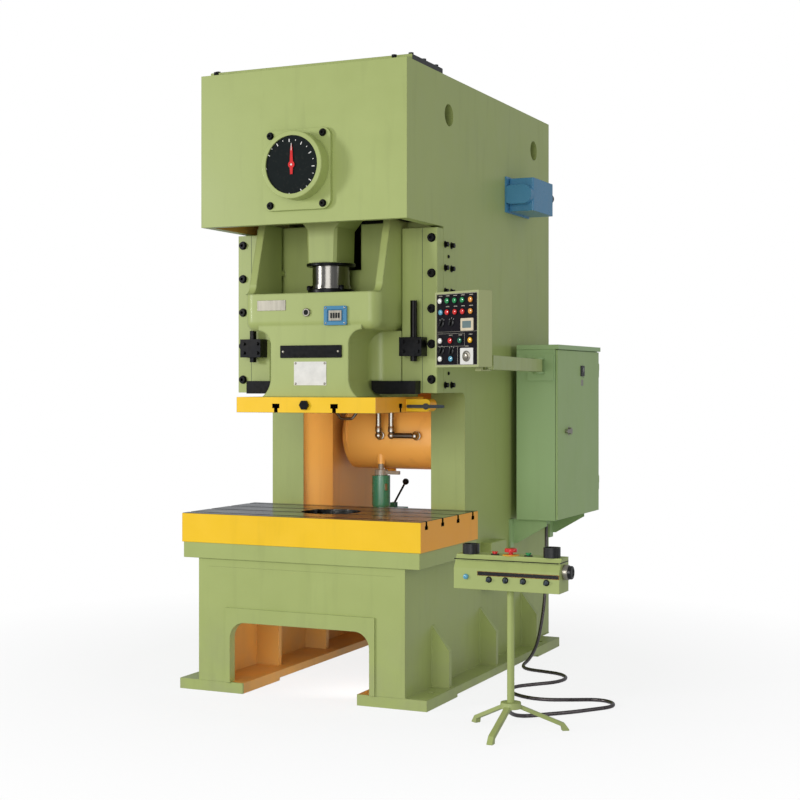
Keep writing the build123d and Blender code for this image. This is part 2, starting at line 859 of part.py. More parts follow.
# Air tank with domed ends, its ports, and the two lugs that hang it from the drive floor
dome = 70.0
lug_x = 320.0
lug_thickness = 12.0
port_r = 22.0
port_length = 14.0
drop_a_x = -192.0
drop_b_x = 34.0
bowl_port_length = 30.0
bowl_port_root = 40.0
lug_width = 120.0
crown_r = (tank_r**2 + dome**2) / (2 * dome)
crown_angle = degrees(atan2(tank_r, crown_r - dome))
port_face = tank_y - tank_r - port_length
tank_skin_z = tank_z - (tank_r**2 - (tank_y - bowl_y) ** 2) ** 0.5
bowl_port_z = tank_skin_z - bowl_port_length
with BuildPart() as air_tank:
    with BuildSketch(Plane.XY.offset(tank_z)):
        with BuildLine():
            right_dome = CenterArc((tank_length / 2 - crown_r, tank_y), crown_r, 0, crown_angle)
            left_centre = (crown_r - tank_length / 2, tank_y)
            left_dome = CenterArc(left_centre, crown_r, 180 - crown_angle, crown_angle)
            Line(right_dome @ 1, left_dome @ 0)
            Line(left_dome @ 1, right_dome @ 0)
        make_face()
    revolve(axis=Axis((0, tank_y, tank_z), (1, 0, 0)))
    with BuildSketch(Plane.XY.offset(tank_z)):
        with Locations((-lug_x, tank_y), (lug_x, tank_y)):
            Rectangle(lug_thickness, lug_width)
    extrude(amount=guide_bottom - tank_z)
    with BuildSketch(back_plane(tank_y, tank_z)):
        with Locations((drop_a_x, 0), (drop_b_x, 0)):
            Circle(port_r)
    extrude(amount=tank_y - port_face)
    with BuildSketch(Plane.XY.offset(bowl_port_z)):
        with Locations((bowl_x, bowl_y)):
            Circle(port_r)
    extrude(amount=bowl_port_length + bowl_port_root)
air_tank.part.label = "air_tank"
export_step(air_tank.part, "parts/air_tank.step")

# Pipes in the throat: two drops to the tank and a looped oil line
drop_top_x = -112.0
drop_y = 340.0
drop_bend = 20.0
oil_pipe_r = 8.0
oil_y = 60.0
oil_left_x = -330.0
oil_right_x = -180.0
oil_knee = 97.0
oil_foot = 147.0
oil_slope = 40.0
oil_bend = 24.0
bend_margin = 1.0
drop_radius = min(drop_bend, port_face - drop_y - bend_margin)
with BuildPart() as tank_pipes:
    with BuildLine() as drop_a:
        FilletPolyline(
            (drop_a_x, drop_y, guide_bottom),
            (drop_a_x, drop_y, tank_z),
            (drop_a_x, port_face, tank_z),
            radius=drop_radius,
        )
    with BuildSketch(Plane(drop_a.line @ 0, z_dir=drop_a.line % 0)):
        Circle(pipe_r)
    sweep()
    with BuildLine() as drop_b:
        FilletPolyline(
            (drop_top_x, drop_y, guide_bottom),
            (drop_top_x, drop_y, tank_z),
            (drop_b_x, drop_y, tank_z),
            (drop_b_x, port_face, tank_z),
            radius=drop_radius,
        )
    with BuildSketch(Plane(drop_b.line @ 0, z_dir=drop_b.line % 0)):
        Circle(pipe_r)
    sweep()
    with BuildLine() as oil_line:
        FilletPolyline(
            (oil_left_x, oil_y, guide_bottom),
            (oil_left_x, oil_y, guide_bottom - oil_knee),
            (oil_left_x + oil_slope, oil_y, guide_bottom - oil_foot),
            (oil_right_x - oil_slope, oil_y, guide_bottom - oil_foot),
            (oil_right_x, oil_y, guide_bottom - oil_knee),
            (oil_right_x, oil_y, guide_bottom),
            radius=oil_bend,
        )
    with BuildSketch(Plane(oil_line.line @ 0, z_dir=oil_line.line % 0)):
        Circle(oil_pipe_r)
    sweep()
tank_pipes.part.label = "tank_pipes"
export_step(tank_pipes.part, "parts/tank_pipes.step")

# Filter bowl under the tank, with its head and drain cock
bowl_round = 12.0
bowl_head_r = 37.5
bowl_head = 34.0
cock_half = 12.0
cock_offset = 70.0
cock_length = 90.0
cock_height = 20.0
bowl_top = bowl_bottom + bowl_height
with BuildPart() as filter_bowl:
    with BuildSketch(Plane.XY.offset(bowl_bottom)):
        with Locations((bowl_x, bowl_y)):
            Circle(bowl_r)
    extrude(amount=bowl_height)
    fillet(filter_bowl.edges().group_by(Axis.Z)[0], bowl_round)
    with BuildSketch(Plane.XY.offset(bowl_top)):
        with Locations((bowl_x, bowl_y)):
            Circle(bowl_head_r)
    extrude(amount=bowl_head)
    with BuildSketch(Plane.XY.offset(bowl_top + bowl_head)):
        with Locations((bowl_x, bowl_y)):
            Circle(pipe_r)
    extrude(amount=bowl_port_z - bowl_top - bowl_head)
    with BuildSketch(back_plane(bowl_y + cock_half)):
        with Locations((bowl_x + cock_offset, bowl_top + bowl_head / 2)):
            Rectangle(cock_length, cock_height)
    extrude(amount=2 * cock_half)
filter_bowl.part.label = "filter_bowl"
export_step(filter_bowl.part, "parts/filter_bowl.step")

# Hand lubrication pump on the base deck
pump_corner = 12.0
pump_ear_height = 28.0
pump_ear_width = 34.0
pump_ear_thickness = 12.0
pump_ear_inner = 10.0
pump_pin_r = 5.0
lever_hub_r = 11.0
pivot_z = base_top + pump_height + pump_ear_height / 2
pump_ear_outer = pump_ear_inner + pump_ear_thickness
lever_hub_half = pump_ear_inner - turn_gap
with BuildPart() as lube_pump:
    with BuildSketch(Plane.XY.offset(base_top)):
        with Locations((pump_x, pump_y)):
            RectangleRounded(pump_width, pump_depth, pump_corner)
    extrude(amount=pump_height)
    for ear_back in (pump_y + pump_ear_outer, pump_y - pump_ear_inner):
        with BuildSketch(back_plane(ear_back)):
            with Locations((pump_x, base_top + pump_height)):
                Rectangle(pump_ear_width, pump_ear_height, align=(Align.CENTER, Align.MIN))
        extrude(amount=pump_ear_thickness)
    with BuildSketch(back_plane(pump_y + pump_ear_outer)):
        with Locations((pump_x, pivot_z)):
            Circle(pump_pin_r)
    extrude(amount=2 * pump_ear_outer)
lube_pump.part.label = "lube_pump"
export_step(lube_pump.part, "parts/lube_pump.step")

with BuildPart() as pump_lever:
    lean = radians(lever_lean)
    tip = (pump_x + lever_length * sin(lean), pump_y, pivot_z + lever_length * cos(lean))
    with BuildSketch(Plane((pump_x, pump_y, pivot_z), z_dir=(sin(lean), 0, cos(lean)))):
        Circle(lever_rod_r)
    extrude(amount=lever_length)
    with Locations(tip):
        Sphere(lever_ball_r)
    with BuildSketch(back_plane(pump_y + lever_hub_half)):
        with Locations((pump_x, pivot_z)):
            Circle(lever_hub_r)
    extrude(amount=2 * lever_hub_half)
    with BuildSketch(back_plane(pump_y + lever_hub_half)):
        with Locations((pump_x, pivot_z)):
            Circle(pump_pin_r + running_fit)
    extrude(amount=2 * lever_hub_half, mode=Mode.SUBTRACT)
pump_lever.part.label = "pump_lever"
export_step(pump_lever.part, "parts/pump_lever.step")

# Main motor, hung from the top of the head
motor_gap = 20.0
motor_foot_x = 70.0
motor_foot_width = 30.0
motor_foot_share = 0.7
motor_foot_root = 12.0
terminal_length = 130.0
terminal_height = 110.0
terminal_root = 20.0
terminal_depth = 70.0
motor_bore_depth = 90.0
motor_back = flywheel_y - motor_gap
motor_front = motor_back - motor_length
motor_mid = (motor_front + motor_back) / 2
mount_z = frame_top - plate_thickness
with BuildPart() as drive_motor:
    with BuildSketch(back_plane(motor_back)):
        with Locations((motor_x, motor_z)):
            Circle(motor_r)
    extrude(amount=motor_length)
    with BuildSketch(Plane.XY.offset(motor_z + motor_r - motor_foot_root)):
        with Locations((motor_x - motor_foot_x, motor_mid), (motor_x + motor_foot_x, motor_mid)):
            Rectangle(motor_foot_width, motor_length * motor_foot_share)
    extrude(amount=mount_z - motor_z - motor_r + motor_foot_root)
    with BuildSketch(Plane.YZ.offset(motor_x + motor_r - terminal_root)):
        with Locations((motor_mid, motor_z)):
            Rectangle(terminal_length, terminal_height)
    extrude(amount=terminal_depth)
    with BuildSketch(back_plane(motor_back)):
        with Locations((motor_x, motor_z)):
            Circle(motor_shaft_r + running_fit)
    extrude(amount=motor_bore_depth, mode=Mode.SUBTRACT)
drive_motor.part.label = "drive_motor"
export_step(drive_motor.part, "parts/drive_motor.step")

# Belt pulley on the motor shaft
groove_first = flywheel_y + (flywheel_width - belt_count * belt_pitch) / 2
groove_depth = belt_height + slide_gap
groove_width = belt_width + 2 * turn_gap
groove_back = groove_first + (belt_pitch + groove_width) / 2
shaft_reach = 100.0
with BuildPart() as motor_pulley:
    with BuildSketch(back_plane(flywheel_y + flywheel_width)):
        with Locations((motor_x, motor_z)):
            Circle(motor_pulley_r)
    extrude(amount=flywheel_width)
    for belt in range(belt_count):
        with BuildSketch(back_plane(groove_back + belt * belt_pitch)):
            with Locations((motor_x, motor_z)):
                Circle(motor_pulley_r)
                Circle(motor_pulley_r - groove_depth, mode=Mode.SUBTRACT)
        extrude(amount=groove_width, mode=Mode.SUBTRACT)
    with BuildSketch(back_plane(flywheel_y)):
        with Locations((motor_x, motor_z)):
            Circle(motor_shaft_r)
    extrude(amount=shaft_reach)
motor_pulley.part.label = "motor_pulley"
export_step(motor_pulley.part, "parts/motor_pulley.step")

# Flywheel with belt grooves, a thin web and its hub
rim_depth = 75.0
wheel_hub_r = 115.0
web_half = 22.0
with BuildPart() as flywheel:
    with BuildSketch(back_plane(flywheel_y + flywheel_width)):
        with Locations((0, pinion_z)):
            Circle(flywheel_r)
    extrude(amount=flywheel_width)
    for start in (flywheel_y + flywheel_width, flywheel_y + flywheel_width / 2 - web_half):
        with BuildSketch(back_plane(start)):
            with Locations((0, pinion_z)):
                Circle(flywheel_r - rim_depth)
                Circle(wheel_hub_r, mode=Mode.SUBTRACT)
        extrude(amount=flywheel_width / 2 - web_half, mode=Mode.SUBTRACT)
    for belt in range(belt_count):
        with BuildSketch(back_plane(groove_back + belt * belt_pitch)):
            with Locations((0, pinion_z)):
                Circle(flywheel_r)
                Circle(flywheel_r - groove_depth, mode=Mode.SUBTRACT)
        extrude(amount=groove_width, mode=Mode.SUBTRACT)
    with BuildSketch(back_plane(flywheel_y + flywheel_width)):
        with Locations((0, pinion_z)):
            Circle(pinion_r + running_fit)
    extrude(amount=flywheel_width, mode=Mode.SUBTRACT)
flywheel.part.label = "flywheel"
export_step(flywheel.part, "parts/flywheel.step")

# Drive belts between the two
with BuildPart() as drive_belts:
    for belt in range(belt_count):
        belt_plane = back_plane(groove_back - turn_gap + belt * belt_pitch)
        for inset, mode in ((0, Mode.ADD), (belt_height, Mode.SUBTRACT)):
            with BuildSketch(belt_plane):
                with Locations((0, pinion_z)):
                    Circle(flywheel_r - inset)
                with Locations((motor_x, motor_z)):
                    Circle(motor_pulley_r - inset)
                make_hull()
            extrude(amount=belt_width, mode=mode)
drive_belts.part.label = "drive_belts"
export_step(drive_belts.part, "parts/drive_belts.step")

# Crankshaft with its eccentric pin and the stub that turns the dial's pointer
journal_overhang = 10.0
stub_reach = 3.0
front_journal = front_bearing_y - journal_overhang
front_web = rod_front - turn_gap - crank_web
rear_web = rod_back + turn_gap
shaft_back = rear_bearing_y + bearing_plate_t + journal_overhang
stub_front = dial_face_front - stub_reach
with BuildPart() as crankshaft:
    with BuildSketch(back_plane(shaft_back)):
        with Locations((0, crank_z)):
            Circle(journal_r)
    extrude(amount=shaft_back - rear_web - crank_web)
    for web_front in (rear_web, front_web):
        with BuildSketch(back_plane(web_front + crank_web)):
            with Locations((0, crank_z + crank_web_offset)):
                Circle(crank_web_r)
        extrude(amount=crank_web)
    with BuildSketch(back_plane(rear_web)):
        with Locations((0, pin_z)):
            Circle(crank_pin_r)
    extrude(amount=rear_web - front_web - crank_web)
    with BuildSketch(back_plane(front_web)):
        with Locations((0, crank_z)):
            Circle(journal_r)
    extrude(amount=front_web - front_journal)
    with BuildSketch(back_plane(front_journal)):
        with Locations((0, crank_z)):
            Circle(dial_stub_r)
    extrude(amount=front_journal - stub_front)
crankshaft.part.label = "crankshaft"
export_step(crankshaft.part, "parts/crankshaft.step")

# Main gear on the crankshaft
gear_backlash = 2.0
gear_window_r = 95.0
gear_window_pitch_r = 255.0
gear_windows = 6
with BuildPart() as drive_gear:
    with BuildSketch(back_plane(gear_y + gear_face, crank_z)):
        with BuildLine():
            Polyline(gear_points(gear_teeth, -90, gear_backlash), close=True)
        make_face()
        with PolarLocations(gear_window_pitch_r, gear_windows):
            Circle(gear_window_r, mode=Mode.SUBTRACT)
        Circle(journal_r + running_fit, mode=Mode.SUBTRACT)
    extrude(amount=gear_face)
drive_gear.part.label = "drive_gear"
export_step(drive_gear.part, "parts/drive_gear.step")

# Pinion shaft with its collars
collar_r = 72.0
collar = 13.0
shaft_overhang = 40.0
shaft_front_overhang = 20.0
pinion_extra = 4.0
pinion_shaft_back = flywheel_y + flywheel_width + shaft_overhang
with BuildPart() as pinion_shaft:
    with BuildSketch(back_plane(pinion_shaft_back)):
        with Locations((0, pinion_z)):
            Circle(pinion_r)
    extrude(amount=pinion_shaft_back - pinion_bearing_y + shaft_front_overhang)
    for y in (flywheel_y + flywheel_width + turn_gap + collar, flywheel_y - turn_gap):
        with BuildSketch(back_plane(y)):
            with Locations((0, pinion_z)):
                Circle(collar_r)
        extrude(amount=collar)
    with BuildSketch(back_plane(gear_y + gear_face + pinion_extra, pinion_z)):
        with BuildLine():
            Polyline(gear_points(pinion_teeth, 90 + 180 / pinion_teeth, gear_backlash), close=True)
        make_face()
    extrude(amount=gear_face + 2 * pinion_extra)
pinion_shaft.part.label = "pinion_shaft"
export_step(pinion_shaft.part, "parts/pinion_shaft.step")

# Pointer of the dial
pointer_length = 104.0
pointer_half = 9.0
pointer_tail = 46.0
pointer_shoulder = 75.0
shoulder_half = 5.4
tail_half = 6.3
pointer_hub_r = 17.0
pointer_thickness = 3.0
with BuildPart() as dial_pointer:
    with BuildSketch(back_plane(stub_front)):
        with Locations((0, crank_z)):
            Circle(pointer_hub_r)
        with BuildLine():
            Polyline(
                (-pointer_half, crank_z),
                (-shoulder_half, crank_z + pointer_shoulder),
                (0, crank_z + pointer_length),
                (shoulder_half, crank_z + pointer_shoulder),
                (pointer_half, crank_z),
                (tail_half, crank_z - pointer_tail),
                (-tail_half, crank_z - pointer_tail),
                close=True,
            )
        make_face()
    extrude(amount=pointer_thickness)
dial_pointer.part.label = "dial_pointer"
export_step(dial_pointer.part, "parts/dial_pointer.step")

# Connecting rod: wide eye round the crank pin, waist and tapered foot
eye_slack = 18.0
eye_height_half = crank_pin_r + eye_slack
eye_width_half = crank_pin_r + crank_throw + turn_gap
eye_foot = pin_z - eye_height_half - rod_eye_wall
rod_taper = 5.0
rod_edge = 14.0
with BuildPart() as connecting_rod:
    with BuildSketch(back_plane(rod_back)):
        with BuildLine():
            Polyline(
                (-rod_width / 2, rod_bottom),
                (-rod_width / 2 - rod_taper, head_bottom),
                (-eye_width_half - rod_eye_wall, eye_foot),
                (-eye_width_half - rod_eye_wall, pin_z + eye_height_half),
                (-eye_width_half, pin_z + eye_height_half + rod_eye_wall),
                (eye_width_half, pin_z + eye_height_half + rod_eye_wall),
                (eye_width_half + rod_eye_wall, pin_z + eye_height_half),
                (eye_width_half + rod_eye_wall, eye_foot),
                (rod_width / 2 + rod_taper, head_bottom),
                (rod_width / 2, rod_bottom),
                close=True,
            )
        make_face()
        with Locations((0, pin_z)):
            SlotOverall(2 * eye_width_half, 2 * eye_height_half, mode=Mode.SUBTRACT)
    extrude(amount=rod_depth)
    waist_mid = (rod_bottom + head_bottom) / 2
    waist_edges = connecting_rod.edges().filter_by(lambda edge: abs(edge.center().Z - waist_mid) < 1)
    chamfer(waist_edges, rod_edge)
    with BuildSketch(Plane.XY.offset(rod_bottom - rod_ring)):
        with Locations((0, die_y)):
            Circle(screw_collar_r + rod_ring_lip)
    extrude(amount=rod_ring)
    with BuildSketch(Plane.XY.offset(rod_bottom - rod_ring)):
        with Locations((0, die_y)):
            Circle(screw_r + running_fit)
    extrude(amount=screw_length + rod_ring, mode=Mode.SUBTRACT)
connecting_rod.part.label = "connecting_rod"
export_step(connecting_rod.part, "parts/connecting_rod.step")

# Adjusting screw with its polished collar, nut and foot
collar_top = rod_bottom - rod_ring - slide_gap
with BuildPart() as adjusting_screw:
    for radius, top, height in (
        (screw_r, collar_top + screw_length, screw_length),
        (screw_collar_r, collar_top, screw_collar - slide_gap),
        (screw_nut_r, collar_top - screw_collar + slide_gap, screw_nut),
        (screw_foot_r, collar_top - screw_collar + slide_gap - screw_nut, screw_foot),
    ):
        with BuildSketch(Plane.XY.offset(top)):
            with Locations((0, die_y)):
                Circle(radius)
        extrude(amount=-height)
adjusting_screw.part.label = "adjusting_screw"
export_step(adjusting_screw.part, "parts/adjusting_screw.step")

# Slide casting
screw_foot_bottom = collar_top - screw_collar + slide_gap - screw_nut - screw_foot
neck_root = 50.0
flare_share = 0.22
flare_rise_share = 0.9
neck_web = 60.0
tray_lift = 15.0
tray_height = 65.0
cheek_round = 10.0
cheek_nose = 25.0
wall_slot_half = 110.0
wall_slot_rise = 133.0
groove_depth_in_cheek = 20.0
groove_reach = 33.0
groove_bridge_rise = 113.0
groove_bridge = 26.0
screw_pit_clearance = 2.0
arc_share = 1 - 0.5**0.5
tray_z0 = ram_bottom + tray_lift
web_foot = tray_z0 + tray_height + seat_gap


def neck_side(side):
    """One side of the neck's outline: straight, with a curved flare at its foot and at its head."""
    foot_x = side * (neck_half + neck_flare)
    head_x = side * (neck_half + neck_top_flare)
    foot_end = (side * neck_half, ram_bottom + 2 * neck_flare)
    head_end = (side * neck_half, neck_top - neck_top_flare)
    foot_middle = (side * (neck_half + flare_share * neck_flare), ram_bottom + flare_rise_share * neck_flare)
    head_middle = (side * (neck_half + arc_share * neck_top_flare), neck_top - arc_share * neck_top_flare)
    ThreePointArc((foot_x, ram_bottom), foot_middle, foot_end)
    Line(foot_end, head_end)
    ThreePointArc(head_end, head_middle, (head_x, neck_top))
    Line((head_x, neck_top), (head_x, neck_top + neck_root))


with BuildPart() as ram:
    with BuildSketch(Plane.XY.offset(neck_top)) as box_outline:
        with Locations((0, rail_back)):
            Rectangle(
                2 * slide_box_half, rail_back - die_y + slide_box_reach, align=(Align.CENTER, Align.MAX)
            )
        fillet(box_outline.vertices().group_by(Axis.Y)[0], slide_box_corner)
    extrude(amount=slide_box_height)
    fillet(ram.edges().group_by(Axis.Z)[0].sort_by(Axis.Y)[:-1], slide_box_edge)
    with BuildSketch(back_plane(body_front)):
        with BuildLine():
            neck_side(1)
            neck_side(-1)
            Line((neck_half + neck_flare, ram_bottom), (-neck_half - neck_flare, ram_bottom))
            head_half = neck_half + neck_top_flare
            Line((head_half, neck_top + neck_root), (-head_half, neck_top + neck_root))
        make_face()
    extrude(amount=body_front - die_y + neck_reach)
    with BuildSketch(Plane.XY.offset(ram_bottom)):
        with Locations((0, rail_back)):
            Rectangle(2 * slide_box_half, rail_back - body_front, align=(Align.CENTER, Align.MAX))
    extrude(amount=neck_height)
    with BuildSketch(Plane.XY.offset(web_foot)):
        with Locations((0, body_front)):
            Rectangle(2 * (neck_half + neck_web), neck_web, align=(Align.CENTER, Align.MAX))
        with Locations((0, body_front - neck_web)):
            with GridLocations(2 * (neck_half + neck_web), 1, 2, 1):
                Circle(neck_web, mode=Mode.SUBTRACT)
    extrude(amount=neck_top - web_foot)
    with BuildSketch(Plane.XY.offset(slide_box_top)):
        with Locations((0, rail_back)):
            Rectangle(2 * slide_box_half, rail_depth, align=(Align.CENTER, Align.MAX))
    extrude(amount=guide_wall_height)
    for sign in (-1, 1):
        with BuildSketch(Plane.XY.offset(ram_bottom + rail_foot)):
            with Locations((sign * (slide_box_half + rail_side) / 2, rail_mid)):
                Rectangle(rail_side - slide_box_half, rail_depth)
        extrude(amount=ram_top - ram_bottom - rail_foot)
        with BuildSketch(Plane.YZ.offset(sign * (slide_box_half - cheek_thickness / 2))):
            slope_top = (die_y - cheek_head_reach, ram_top - cheek_nose)
            slope_foot = (die_y - cheek_foot_reach, slide_box_top + cheek_foot_fillet)
            toe = (die_y - cheek_foot_reach - cheek_foot_fillet, slide_box_top)
            toe_middle = (
                die_y - cheek_foot_reach - arc_share * cheek_foot_fillet,
                slide_box_top + arc_share * cheek_foot_fillet,
            )
            nose = (die_y - cheek_head_reach + cheek_round, ram_top)
            with BuildLine():
                ThreePointArc(toe, toe_middle, slope_foot)
                Polyline(slope_foot, slope_top, nose, (rail_front, ram_top), (rail_front, slide_box_top), toe)
            make_face()
        extrude(amount=cheek_thickness / 2, both=True)
        groove_x = sign * (slide_box_half - cheek_thickness + groove_depth_in_cheek / 2)
        bridge_z = slide_box_top + groove_bridge_rise
        for foot, head in ((slide_box_top, bridge_z), (bridge_z + groove_bridge, ram_top)):
            with BuildSketch(Plane.XY.offset(foot)):
                with Locations((groove_x, rail_front)):
                    Rectangle(groove_depth_in_cheek, groove_reach, align=(Align.CENTER, Align.MAX))
            extrude(amount=head - foot, mode=Mode.SUBTRACT)
    with BuildSketch(back_plane(rail_back)):
        with Locations((0, slide_box_top + wall_slot_rise)):
            Rectangle(2 * wall_slot_half, guide_wall_height, align=(Align.CENTER, Align.MIN))
    extrude(amount=rail_depth, mode=Mode.SUBTRACT)
    with BuildSketch(Plane.XY.offset(screw_foot_bottom - turn_gap)):
        with Locations((0, die_y)):
            Circle(screw_foot_r + running_fit)
    extrude(amount=slide_box_top - screw_foot_bottom + screw_pit_clearance, mode=Mode.SUBTRACT)
ram.part.label = "ram"
export_step(ram.part, "parts/ram.step")

# Slide plate with T-slots, shank hole and the ear that carries the clamp lever
ear_reach = 131.0
ear_root = 2.0
ear_setback = 63.0
ear_depth = 80.0
ear_lift = 4.0
ear_drop = 14.0
ear_round = 24.0
ear_block = 40.0
plate_slot_neck = 20.0
plate_slot_head = 40.0
plate_slot_half = 22.0
plate_slot_x = 160.0
plate_slot_end = 95.0
plate_edge = 3.0
slide_plate_side = slide_plate_width / 2
ear_y0 = die_y + ear_setback
ear_height = slide_plate_thickness - ear_drop
with BuildPart() as slide_plate:
    with BuildSketch(Plane.XY.offset(slide_bottom)):
        with Locations((0, slide_plate_y)):
            Rectangle(slide_plate_width, slide_plate_depth)
    extrude(amount=slide_plate_thickness)
    chamfer(slide_plate.edges().filter_by(Axis.Z), plate_edge)
    with BuildSketch(back_plane(ear_y0 + ear_depth)):
        with Locations((slide_plate_side - ear_root, slide_bottom + ear_lift)):
            RectangleRounded(ear_reach + ear_root, ear_height, ear_round, align=(Align.MIN, Align.MIN))
            Rectangle(ear_block, ear_height, align=(Align.MIN, Align.MIN))
    extrude(amount=ear_depth)
    with BuildSketch(back_plane(slide_plate_y + slide_plate_depth / 2)):
        for x in (-plate_slot_x, plate_slot_x):
            t_slot(x, slide_bottom, 1, plate_slot_neck, plate_slot_half, plate_slot_head, plate_slot_half)
    extrude(amount=slide_plate_depth, mode=Mode.SUBTRACT)
    for sign in (-1, 1):
        with BuildSketch(Plane.YZ.offset(sign * slide_plate_side)):
            t_slot(die_y, slide_bottom, 1, plate_slot_neck, plate_slot_half, plate_slot_head, plate_slot_half)
        extrude(amount=-sign * (slide_plate_side - plate_slot_end), mode=Mode.SUBTRACT)
    with BuildSketch(Plane.XY.offset(slide_bottom)):
        with Locations((0, die_y)):
            Circle(shank_r)
    extrude(amount=slide_plate_thickness, mode=Mode.SUBTRACT)
slide_plate.part.label = "slide_plate"
export_step(slide_plate.part, "parts/slide_plate.step")

# Fittings on the slide: slot cover, two blank plates, oil sight, shank screw and oil trays
neck_front = die_y - neck_reach
box_face = die_y - slide_box_reach
slot_cover_x = 11.0
slot_cover_rise = 223.0
slot_cover_width = 337.0
slot_cover_height = 61.0
slot_cover_depth = 7.0
cover_round = 4.0
neck_plate_x = 6.0
neck_plate_rise = 116.0
neck_plate_width = 177.0
neck_plate_height = 115.0
plate_sheet = 2.0
box_plate_x = -207.0
box_plate_drop = 58.0
box_plate_width = 159.0
box_plate_height = 50.0
sight_x = -10.0
sight_drop = 96.0
sight_r = 20.0
sight_depth = 9.0
shank_screw_r = 25.0
shank_screw_depth = 14.0
tray_inner_gap = 22.0
tray_length = 238.0
tray_depth = 62.0
tray_gap = 4.0
tray_round = 40.0
tray_seat_inset = 45.0
tray_inner = neck_half + tray_inner_gap
tray_mid = tray_inner + tray_length / 2
tray_back = gib_front - tray_gap
with BuildPart() as ram_fittings:
    with BuildSketch(back_plane(neck_front)):
        with Locations((slot_cover_x, ram_bottom + slot_cover_rise)):
            RectangleRounded(slot_cover_width, slot_cover_height, cover_round)
    extrude(amount=slot_cover_depth)
    with BuildSketch(back_plane(neck_front)):
        with Locations((neck_plate_x, ram_bottom + neck_plate_rise)):
            RectangleRounded(neck_plate_width, neck_plate_height, cover_round)
    extrude(amount=plate_sheet)
    with BuildSketch(back_plane(box_face)):
        with Locations((box_plate_x, slide_box_top - box_plate_drop)):
            Rectangle(box_plate_width, box_plate_height)
    extrude(amount=plate_sheet)
    with BuildSketch(back_plane(box_face)):
        with Locations((sight_x, slide_box_top - sight_drop)):
            Circle(sight_r)
    extrude(amount=sight_depth)
    with BuildSketch(back_plane(die_y - slide_plate_front)):
        with Locations((0, slide_bottom + slide_plate_thickness / 2)):
            RegularPolygon(shank_screw_r, 6)
    extrude(amount=shank_screw_depth)
    for sign in (-1, 1):
        with BuildSketch(back_plane(tray_back)) as tray_outline:
            with Locations((sign * tray_mid, tray_z0)):
                Rectangle(tray_length, tray_height, align=(Align.CENTER, Align.MIN))
            low_inner = (sign * tray_inner, tray_z0)
            fillet(tray_outline.vertices().sort_by_distance(low_inner)[0], tray_round)
        extrude(amount=tray_depth)
        with BuildSketch(back_plane(body_front)):
            with Locations((sign * (tray_inner + tray_seat_inset), tray_z0)):
                near = Align.MIN if sign > 0 else Align.MAX
                Rectangle(slide_box_half - tray_inner - tray_seat_inset, tray_height, align=(near, Align.MIN))
        extrude(amount=tray_gap)
ram_fittings.part.label = "ram_fittings"
export_step(ram_fittings.part, "parts/ram_fittings.step")

# Die height counter in its frame
counter_x = 150.0
counter_drop = 114.0
counter_width = 123.0
counter_height = 93.0
counter_round = 7.0
counter_depth = 10.0
counter_recess = 4.0
counter_rim = 17.5
counter_step = 12.0
counter_glass = 5.0
counter_z = slide_box_top - counter_drop
recess_face = box_face - counter_depth + counter_recess
with BuildPart() as die_height_counter:
    with BuildSketch(back_plane(box_face)):
        with Locations((counter_x, counter_z)):
            RectangleRounded(counter_width, counter_height, counter_round)
    extrude(amount=counter_depth)
    with BuildSketch(back_plane(recess_face)):
        with Locations((counter_x, counter_z)):
            Rectangle(counter_width - 2 * counter_rim, counter_height - 2 * counter_rim)
    extrude(amount=counter_recess, mode=Mode.SUBTRACT)
    with BuildSketch(back_plane(recess_face)):
        with Locations((counter_x, counter_z)):
            step = 2 * (counter_rim + counter_step)
            Rectangle(counter_width - step, counter_height - step)
    extrude(amount=counter_glass)
die_height_counter.part.label = "die_height_counter"
export_step(die_height_counter.part, "parts/die_height_counter.step")

# Clamp lever on the ear of the slide plate
clamp_inset = 20.0
clamp_rise = 30.0
clamp_length = 200.0
clamp_height = 16.0
clamp_offset = 3.0
clamp_hub_r = 15.0
clamp_pin_r = 9.0
clamp_thickness = 12.0
clamp_x = slide_plate_side + ear_reach - clamp_inset
clamp_z = slide_bottom + clamp_rise
with BuildPart() as clamp_lever:
    with BuildSketch(back_plane(ear_y0 - turn_gap)):
        with Locations((clamp_x - clamp_offset, clamp_z)):
            SlotOverall(clamp_length, clamp_height)
        with Locations((clamp_x, clamp_z)):
            Circle(clamp_hub_r)
    extrude(amount=clamp_thickness)
    with BuildSketch(back_plane(ear_y0)):
        with Locations((clamp_x, clamp_z)):
            Circle(clamp_pin_r)
    extrude(amount=turn_gap)
clamp_lever.part.label = "clamp_lever"
export_step(clamp_lever.part, "parts/clamp_lever.step")

